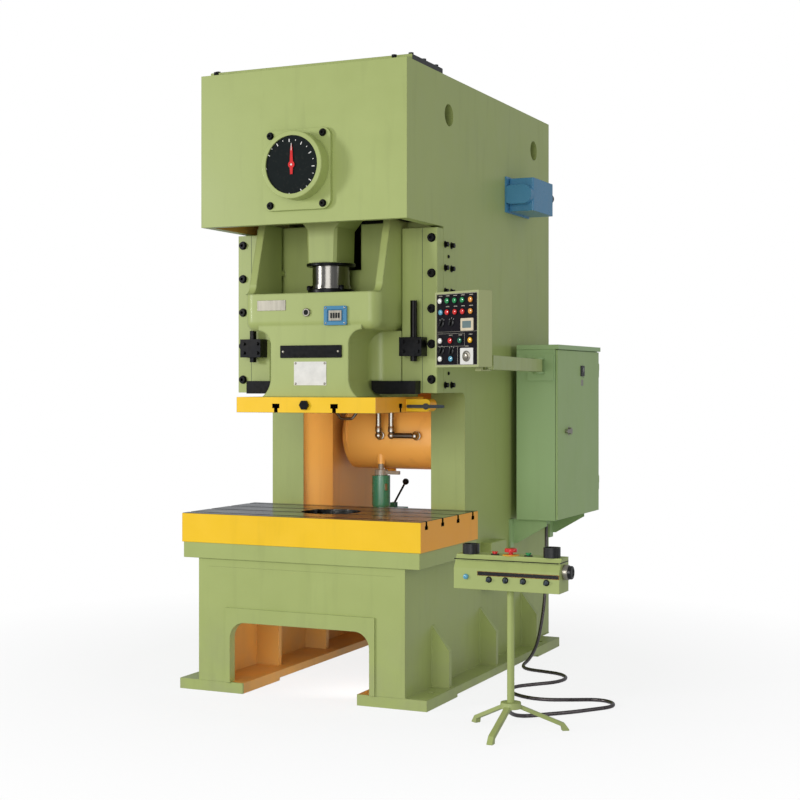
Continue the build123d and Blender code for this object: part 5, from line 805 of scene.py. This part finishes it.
PENDANT_FACE = pendant_seat()
LAMP_BEZEL = [(14.5, 0), (14.5, 3.5), (13, 5), (11.8, 5), (11.8, 3)]
LAMP_CAP = [(13, 1), (13, 8), (11.6, 10), (7.6, 11.3), (2, 11.8)]
PENDANT_LAMPS = (
    ("white_lamps", WHITE_LENS, ((35.5, 308), (36.5, 123), (36.5, 39))),
    ("green_lamps", GREEN_LENS, ((84.5, 308), (135.5, 308), (187.5, 308))),
    ("yellow_lamps", AMBER_LENS, ((242.5, 308), (242.5, 255))),
    ("yellow_button", YELLOW_LENS, ((239.5, 123),)),
    ("blue_lamps", BLUE_LENS, ((41.5, 255), (109.5, 39))),
    ("red_lamps", RED_LENS, ((84.5, 255), (137.5, 255), (188.5, 255), (105.5, 123))),
    ("dark_green_button", DARK_GREEN_LENS, ((170.5, 123),)),
)
BLANK_STRIPS = (
    [(x, 331) for x in (35.5, 84.5, 135.5, 187.5, 242.5)]
    + [(x, 281) for x in (84.5, 137.5, 188.5, 242.5)]
    + [(105.5, 148), (170.5, 148), (239.5, 150), (213.5, 96)]
)
# Turn switches: x, y and the lean of the grip in degrees
SWITCHES = ((45.5, 204, 60), (111.5, 206, 75), (45.5, 77, 60), (111.5, 74, 75))


def build_pendant():
    """Panel with rims and blank strips, lamps, turn switches, screen and key switch."""
    face, body = PENDANT_FACE, "pendant"
    panel = flat_piece("pendant_panel", PANEL_BLACK, body, slab(face, 147.5, 175, 274, 329, 1.2, 2, 0.4))
    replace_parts(panel, "pendant_controls")
    rims = [frame_rim(face, 147.5, 175, 275, 330, 2.6, 2.2, 3)]
    rims.append(frame_rim(face, 108, 126, 182, 60, 1.8, 1.3, 2))
    lines = [slab(face, 147.5, 164, 268, 1.4, 1.8, 0.5, 0.2), slab(face, 152, 54, 1.4, 84, 1.8, 0.5, 0.2)]
    flat_piece("pendant_panel_rim", SATIN_PLATE, body, *rims, *lines)
    strips = [slab(face, x, y, 24, 4, 1.9, 0.8, 0.2) for x, y in BLANK_STRIPS]
    flat_piece("pendant_blank_strips", SATIN_PLATE, body, *strips)
    bezels = []
    for name, finish, spots in PENDANT_LAMPS:
        piece_of("pendant_" + name, finish, body, *[turned(face, x, y, LAMP_CAP) for x, y in spots])
        bezels += [turned(face, x, y, LAMP_BEZEL) for x, y in spots]
    piece_of("pendant_bezels", BLACKENED, body, *bezels)
    disc = [(17, 1), (17, 5), (15, 6.5), (12, 7)]
    piece_of("pendant_switch_discs", BLACK_PLASTIC, body, *[turned(face, x, y, disc) for x, y, _ in SWITCHES])
    grips = [slab(spun(face, x, y, 7, lean), 0, 0, 29, 8, 11, 3, 1.2, -0.5) for x, y, lean in SWITCHES]
    piece_of("pendant_switch_grips", DARK_GLOSS, body, *grips)
    marks = [
        slab(spun(face, x, y, 1, angle), 21.5, 0, 5, 1.6, 1, 0.4, 0.2)
        for x, y, _ in SWITCHES
        for angle in (50, 90, 130)
    ]
    flat_piece("pendant_switch_marks", WHITE_PLATE, body, *marks)
    piece_of("pendant_screen_frame", CREAM_PLATE, body, slab(face, 217.5, 195, 84, 58, 6, 4, 1))
    piece_of("pendant_screen", SCREEN_GLASS, body, slab(face, 217.5, 195, 58, 32, 2, 2, 0.4, 5))
    piece_of("pendant_key_plate", WHITE_PLATE, body, slab(face, 213.5, 50, 86, 76, 3.5, 3, 0.8))
    lock = [(25, 3), (25, 6), (22, 8), (16, 9), (16, 14), (13, 16), (4, 16.5)]
    key = slab(face, 213.5, 50, 4, 20, 4, 1, 0.4, 14.5)
    piece_of("pendant_key_switch", SATIN_PLATE, body, turned(face, 213.5, 50, lock, 32), key)


# Pedestal: the line of its buttons, its lid, its front face and the height of its knobs
BUTTON_Y, LID_Z, PEDESTAL_FRONT, KNOB_Z = -1191, 774, -1253, 672
PALM_X, SMALL_BUTTON_X, STOP_X = (984, 1359), (1097, 1252), 1171
# Front knobs: x and the lean of the grip in degrees
KNOBS = ((1092, 35), (1168, 75), (1249, 45), (1355, 45))


def build_pedestal():
    """Guards round the palm buttons, collars, front knobs, strip, lamp, a dark line of painted shade under
    the lid's ledge, and end socket.
    """
    top, front, end = top_seat(LID_Z), front_seat(PEDESTAL_FRONT), right_seat(1413)
    rims = [frame_rim(top, x, BUTTON_Y, 70, 70, 44, 5, 27) for x in PALM_X]
    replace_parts(piece_of("palm_guards", BLACK_PLASTIC, "frame", *rims), "pedestal_fittings")
    collar = [(19, 0), (19, 2.5), (17, 4), (9.4, 4), (9.4, 0)]
    collars = [turned(top, x, BUTTON_Y, collar, 28) for x in SMALL_BUTTON_X]
    piece_of("small_button_collars", BLACK_PLASTIC, "frame", *collars)
    ring = [(37, 0), (37, 2.6), (35, 4), (10.4, 4), (10.4, 0)]
    piece_of("stop_ring", YELLOW_PLASTIC, "frame", turned(top, STOP_X, BUTTON_Y, ring, 40))
    flat_piece("pedestal_strip", DARK_GLOSS, "frame", slab(front, 1225, 697, 370, 15, 2, 1, 0.4))
    rim = frame_rim(front, 1225, 697, 374, 19, 1.6, 2, 1.5)
    flat_piece("pedestal_strip_rim", BRONZE_FINISH, "frame", rim)
    ring = [(14, 0), (14, 2), (12.5, 3.5), (9, 4)]
    piece_of("front_knob_rings", BLACKENED, "frame", *[turned(front, x, KNOB_Z, ring) for x, _ in KNOBS])
    knobs = []
    for x, lean in KNOBS:
        knobs.append(turned(front, x, KNOB_Z, [(10, 3), (10, 6), (8.5, 8), (6, 8.6)], 20))
        knobs.append(slab(spun(front, x, KNOB_Z, 8, lean), 0, 0, 24, 7, 7.5, 2.5, 1))
    piece_of("front_knobs", LEVER_STEEL, "frame", *knobs)
    lamp_cap = [(12, 0), (12, 6), (10, 10), (5, 12.5), (1.5, 13)]
    piece_of("front_lamp", BLUE_LENS, "frame", turned(front, 985, 680, lamp_cap))
    # A dark strip under the lid's ledge on the front and the end: painted shade.
    seam_and_shade_strips = slab(front, 1170, 756, 482, 4, 1.2, 1, 0.3), slab(end, BUTTON_Y, 756, 120, 4, 1.2, 1, 0.3)
    flat_piece("pedestal_lid_seam", BLACKENED, "frame", *seam_and_shade_strips)
    socket = [(33, 0), (33, 20), (31, 24), (26, 24)]
    piece_of("socket_ring", SATIN_PLATE, "frame", turned(end, BUTTON_Y, 713, socket, 36))
    cap = [(29, 22), (29, 36), (27, 39), (18, 40), (16, 37), (6, 36)]
    piece_of("socket_cap", DARK_GLOSS, "frame", turned(end, BUTTON_Y, 713, cap, 36))


def build_slide_fittings():
    """Counter windows, bare plates, oil sight, black rings of the rod and the screw, and dark lines of
    painted shade along the guide seams.
    """
    counter = front_seat(-875)
    flat_piece("counter_scale", SATIN_PLATE, "ram", slab(counter, 150, 1853, 70, 50, 1.2, 2, 0.4))
    windows = [slab(counter, x, 1853, 10.5, 26, 2, 1, 0.3) for x in (130, 143.5, 157, 170.5)]
    flat_piece("counter_windows", DARK_GLOSS, "ram", *windows, slot_name="dial_black")
    box_face, neck_face = front_seat(-864), front_seat(-859)
    flat_piece("box_plate", SATIN_PLATE, "ram", slab(box_face, -207, 1909, 160, 51, 2.8, 2, 0.6))
    flat_piece("neck_plate", WHITE_PLATE, "ram", slab(neck_face, 6, 1573, 178, 116, 2.6, 2, 0.5))
    ring = [(20.5, 0), (20.5, 8), (18, 10.5), (13, 10.5), (12, 8.6), (3, 8.6)]
    piece_of("oil_sight_ring", SATIN_PLATE, "ram", turned(box_face, -10, 1871, ring, 32))
    up = top_seat()
    cap = [turned(up, 0, -623, [(118, 1955), (118, 1992), (114, 1996), (98, 1996)], 48)]
    cap += [turned(up, x, -685, [(12, 1990), (12, 2010), (10, 2013), (4, 2013)], 20) for x in (-92, 92)]
    piece_of("screw_seat_cap", BLACKENED, "ram", *cap)
    ring = [(96, 2109), (121, 2109), (123.2, 2112), (123.2, 2121), (121, 2126)]
    piece_of("rod_lock_ring", BLACKENED, "rod", turned(up, 0, -623, ring, 48))
    # Dark green strips along the guide plates' seams: painted shade at their step.
    seam_and_shade_strips = [slab(front_seat(-584), x, 1883.5, 3.2, 812, 0.6, 0.8, 0.2) for x in (-484, 484)]
    flat_piece("gib_seam_lines", SHADOW_GREEN, "frame", *seam_and_shade_strips)


def build_dial_marks():
    """Ticks round the dial, and the pale tip and the hub screw of the pointer."""
    face = seat(-14, -1035.4, 2557, (1, 0, 0), (0, -1, 0))
    ticks = []
    for step in range(24):
        length, width = (15, 4.6) if step % 2 == 0 else (7, 3.4)
        ticks.append(slab(spun(face, 0, 0, 0, step * 15), 137 - length / 2, 0, length, width, 0.9, 0.8, 0.2))
    flat_piece("dial_marks", WHITE_PLATE, "frame", *ticks)
    face = front_seat(-1041)
    screw = turned(face, 0, 2570, [(5, 0), (5, 1.2), (3.6, 1.8), (1, 1.9)], 16)
    flat_piece("pointer_tip", WHITE_PLATE, "crank", slab(face, 0, 2655, 3.2, 34, 1, 1, 0.3), screw)


# Pipes in the throat, and the ball of their elbows
DROP_X, LOOP_X, PIPE_Y, ELBOW_Z, BALL_RADIUS = (-192, -112), 34, 340, 1230, 20.5


def build_throat_fittings():
    """Elbows and sleeves on the pipes, the bowl's label, drain flange and seams of the tank."""
    up, elbow_face = top_seat(), front_seat(363)
    sleeve = [(17, 1250), (19.5, 1252), (19.5, 1276), (17, 1280), (16.4, 1284), (16.4, 1400)]
    nut = [(17, 1400), (21, 1402), (21, 1424), (17, 1426)]
    ball = [
        (BALL_RADIUS * math.cos(math.radians(t)), ELBOW_Z + BALL_RADIUS * math.sin(math.radians(t)))
        for t in range(-80, 81, 20)
    ]
    collar = [(26, -2), (26, 8), (22, 10), (20, 22), (16, 24)]
    parts = []
    for x in DROP_X:
        parts += [turned(up, x, PIPE_Y, sleeve), turned(up, x, PIPE_Y, nut, 6)]
    parts += [turned(up, x, PIPE_Y, ball) for x in (*DROP_X, LOOP_X)]
    parts += [turned(elbow_face, x, ELBOW_Z, collar) for x in (DROP_X[0], LOOP_X)]
    piece_of("pipe_elbows", CHROME, "frame", *parts)
    bowl_face = seat(-174, 401.5, 934, (0.537, 0.85, 0), (0.85, -0.537, 0))
    flat_piece("bowl_label", SATIN_PLATE, "frame", slab(bowl_face, 0, 0, 16, 38, 1.6, 1.5, 0.3, -0.6))
    flange = [(33, 1010), (34, 1012), (34, 1026), (30, 1036), (20, 1040)]
    piece_of("tank_drain_flange", YELLOW_PLASTIC, "frame", turned(up, -244, 613, flange, 32))
    band = [(205, -5), (208.4, -2), (208.4, 2), (205, 5)]
    seam_and_shade_strips = [turned(right_seat(x), 570, 1253.5, band, 72) for x in (-412, 412)]
    piece_of("tank_seams", INNER_PAINT, "frame", *seam_and_shade_strips)


def build_lifting_hole_shade_cups():
    """Dark cups inside the lifting holes: painted shade in the holes."""
    cup = [(57, -13), (57, -1), (54, -0.5), (40, -6), (12, -8)]
    cups = [
        turned(seat(out * 512.5, y, 2862, (0, out, 0), (out, 0, 0)), 0, 0, cup, 40)
        for out in (-1, 1)
        for y in (-433, 832)
    ]
    piece_of("lifting_hole_cups", DARK_GLOSS, "frame", *cups, slot_name="black_oxide")


def build_cabinet_trims():
    """Handle rose, lock plate with its cylinder and screws, and a blank label on the cabinet's door."""
    door, lock_y, lock_z = right_seat(836), 885, 1600
    rose = turned(door, 646, 1260, [(24, 0), (24, 0.5), (23, 0.9)], 32)
    piece_of("handle_rose", SATIN_PLATE, "door", rose)
    piece_of("lock_plate", BLACK_PLASTIC, "door", slab(door, lock_y, lock_z - 5, 60, 60, 7, 4, 1, -0.5))
    label = slab(door, lock_y, lock_z - 72, 40, 34, 1.6, 3, 0.5, -0.4)
    flat_piece("door_blank_label", SATIN_PLATE, "door", label)
    cylinder = turned(door, lock_y, lock_z + 3, [(13, 5.5), (13, 8), (11, 9.5), (4, 9.8)])
    piece_of("lock_cylinder", CHROME, "door", cylinder)
    screw = [(4, 5.5), (4, 6.8), (2.5, 7.4)]
    screws = [turned(door, lock_y + drop * 0.2, lock_z - drop - 12, screw, 12) for drop in (0, 30)]
    piece_of("lock_screws", CHROME, "door", *screws)


# Screws, washers and welds: places and profiles in millimetres
ADJUSTER_X, ADJUSTER_Y = 562.5, -442.25
SET_SCREW_Y, SET_SCREW_HEIGHTS = -442.3, (1574.2, 2155.8)
ADJUSTER_ROWS = [1516 + row * 698 / 6 for row in range(7)]
GUSSET_BACKS, GUSSET_THICKNESS = (-620, 15, 650), 30.0
WELD_X, RAIL_TOP, WELD_PITCH = 562.5, 52, 5.0


def bead_line(start, end):
    """Points along a weld from one place to another."""
    start, end = Vector(start), Vector(end)
    count = max(int((end - start).length / WELD_PITCH), 1)
    return [start.lerp(end, i / count) for i in range(count + 1)]


def weld_spots():
    """Beads of weld where the gussets meet the side plates and the feet."""
    spots = []
    for y in GUSSET_BACKS:
        for side in (-1, 1):
            for face in (y, y - GUSSET_THICKNESS):
                spots += bead_line((side * WELD_X, face, 54), (side * WELD_X, face, 346))
                spots += bead_line((side * 564, face, RAIL_TOP), (side * 652, face, RAIL_TOP))
    for side in (-1, 1):
        spots += bead_line((side * WELD_X, -960, RAIL_TOP), (side * WELD_X, 1092, RAIL_TOP))
    return spots


def washer(bore, radius, height, chamfer):
    return [(bore, 0), (radius, 0), (radius, height - 0.8), (radius - chamfer, height), (bore, height)]


def build_repeated_parts():
    """Small screws, washers and weld beads, each set out in one go."""
    both, front, washers = (-1, 1), TO_FRONT, BLACKENED
    spots = [(x, -874.2, z) for x in (99, 201) for z in (1816, 1890)]
    screw = [(5, 0), (5, 1.4), (3.8, 2.4), (1, 2.7)]
    set_out("counter_screws", CHROME, "ram", front, 16, screw, spots)
    spots = [(x, -865.8, 1680) for x in (-140, 162)]
    spots += [(x, -861, z) for x in (-74, 86) for z in (1523, 1623)]
    screw = [(6, 0), (6, 1.6), (4.6, 3), (1.2, 3.3)]
    set_out("slide_plate_screws", SATIN_PLATE, "ram", front, 16, screw, spots)
    spots = [(x, -584, 1544 + row * 174) for x in (-533, 533) for row in range(5)]
    set_out("gib_washers", washers, "frame", front, 28, washer(17.5, 22, 4, 1), spots)
    spots = [(-14 + sx * 143.5, -964, 2557 + sz * 169.5) for sx in both for sz in both]
    set_out("dial_washers", washers, "frame", front, 28, washer(14.3, 19, 3, 0.8), spots)
    screw = [(9, 0), (9, 4), (7, 6), (4, 6), (4, 2)]
    for name, side, turn in (("right", 1, TO_RIGHT), ("left", -1, TO_LEFT)):
        spots = [(side * ADJUSTER_X, SET_SCREW_Y, z) for z in SET_SCREW_HEIGHTS]
        set_out(name + "_set_screws", washers, "frame", turn, 18, screw, spots)
        spots = [(side * ADJUSTER_X, ADJUSTER_Y + row * 40, z) for row in both for z in ADJUSTER_ROWS]
        set_out(name + "_adjuster_washers", washers, "frame", turn, 24, washer(12, 17.5, 3, 0.9), spots)
    bead = [(3.6, -3), (4.6, -1.2), (4.8, 0.4), (3.8, 2.2), (1.4, 3.2)]
    set_out("gusset_welds", GREEN_PAINT, "frame", FLAT_UP, 8, bead, weld_spots())
    spots = [(side * 452, 1098, 1610 + row * 220) for side in both for row in range(6)]
    screw = [(11, 0), (11, 14), (10, 16), (4, 16.4)]
    set_out("rear_cover_screws", BLACKENED, "frame", TO_BACK, 6, screw, spots)


build_conduit()
build_pendant()
build_pedestal()
build_slide_fittings()
build_dial_marks()
build_throat_fittings()
build_lifting_hole_shade_cups()
build_cabinet_trims()
build_repeated_parts()


# Stage: floor, background, lamps and camera
WHITE = (1.0, 1.0, 1.0, 1.0)
SKY = (0.93, 0.96, 1.0, 1.0)
FLOOR_GREY = (0.93, 0.93, 0.93, 1.0)
SKY_STRENGTH = 0.44
FLOOR_RADIUS = 9.0


def background():
    """A white world to the camera and an even soft light on everything."""
    world = bpy.data.worlds.new("studio")
    bpy.context.scene.world = world
    tree = empty_tree(world)
    path = place(tree, "ShaderNodeLightPath").outputs
    seen = math_node(tree, "MAXIMUM", path["Is Camera Ray"], path["Is Transmission Ray"])
    shown = place(tree, "ShaderNodeBackground", {"Color": WHITE, "Strength": 1.0})
    light = place(tree, "ShaderNodeBackground", {"Color": SKY, "Strength": SKY_STRENGTH})
    mixed = place(tree, "ShaderNodeMixShader", {0: seen, 1: light.outputs[0], 2: shown.outputs[0]})
    place(tree, "ShaderNodeOutputWorld", {0: mixed.outputs[0]})


def studio_floor():
    """A pale floor that fades into the background."""
    mesh = bpy.data.meshes.new("studio_floor")
    shape = bmesh.new()
    bmesh.ops.create_circle(shape, cap_ends=True, segments=96, radius=FLOOR_RADIUS)
    shape.to_mesh(mesh)
    shape.free()
    material = bpy.data.materials.new("studio_floor")
    tree = empty_tree(material)
    body = place(tree, "ShaderNodeBsdfDiffuse", {"Color": FLOOR_GREY})
    clear = place(tree, "ShaderNodeBsdfTransparent")
    reach = place(tree, "ShaderNodeVectorMath", {0: object_place(tree)}, operation="LENGTH").outputs["Value"]
    fade = spread(tree, reach, 1.4, 3.2, 0.84, 1.0)
    mixed = place(tree, "ShaderNodeMixShader", {0: fade, 1: body.outputs[0], 2: clear.outputs[0]})
    place(tree, "ShaderNodeOutputMaterial", {0: mixed.outputs[0]})
    mesh.materials.append(material)
    linked("studio_floor", mesh)


def lamp(name, spot, aim, size, power):
    """One soft square lamp that points at a place."""
    data = bpy.data.lights.new(name, "AREA")
    data.shape = "SQUARE"
    data.size = size
    data.energy = power
    piece = linked(name, data)
    piece.location = spot
    piece.rotation_euler = (Vector(aim) - Vector(spot)).to_track_quat("-Z", "Y").to_euler()
    piece.visible_camera = False


def photo_camera():
    """The camera at the photograph's place, level, turned 24.5 degrees to the left."""
    data = bpy.data.cameras.new("photo_camera")
    data.lens = 67.607
    data.sensor_width = 36.0
    data.shift_y = -0.0206
    camera = linked("photo_camera", data)
    camera.location = (3.44743, -7.35364, 1.52384)
    camera.rotation_euler = (math.radians(90.0), 0.0, math.radians(24.4975))
    bpy.context.scene.camera = camera


background()
studio_floor()
# Name, place, aim, width in metres and power in watts
lamp("key_lamp", (-6.4, -6.9, 3.0), (0.0, -0.5, 1.6), 1.6, 262.0)
lamp("front_lamp", (1.0, -8.5, 2.2), (0.0, 0.0, 1.3), 4.0, 205.0)
lamp("side_lamp", (7.0, -2.0, 2.6), (0.0, 0.0, 1.6), 3.0, 44.0)
lamp("throat_lamp", (0.05, -0.14, 1.14), (-0.1, 0.6, 1.2), 0.7, 2.7)
lamp("base_lamp", (0.25, -0.85, 0.3), (-0.2, 0.2, 0.3), 0.2, 2.2)
photo_camera()

bpy.context.scene.view_settings.view_transform = "Standard"
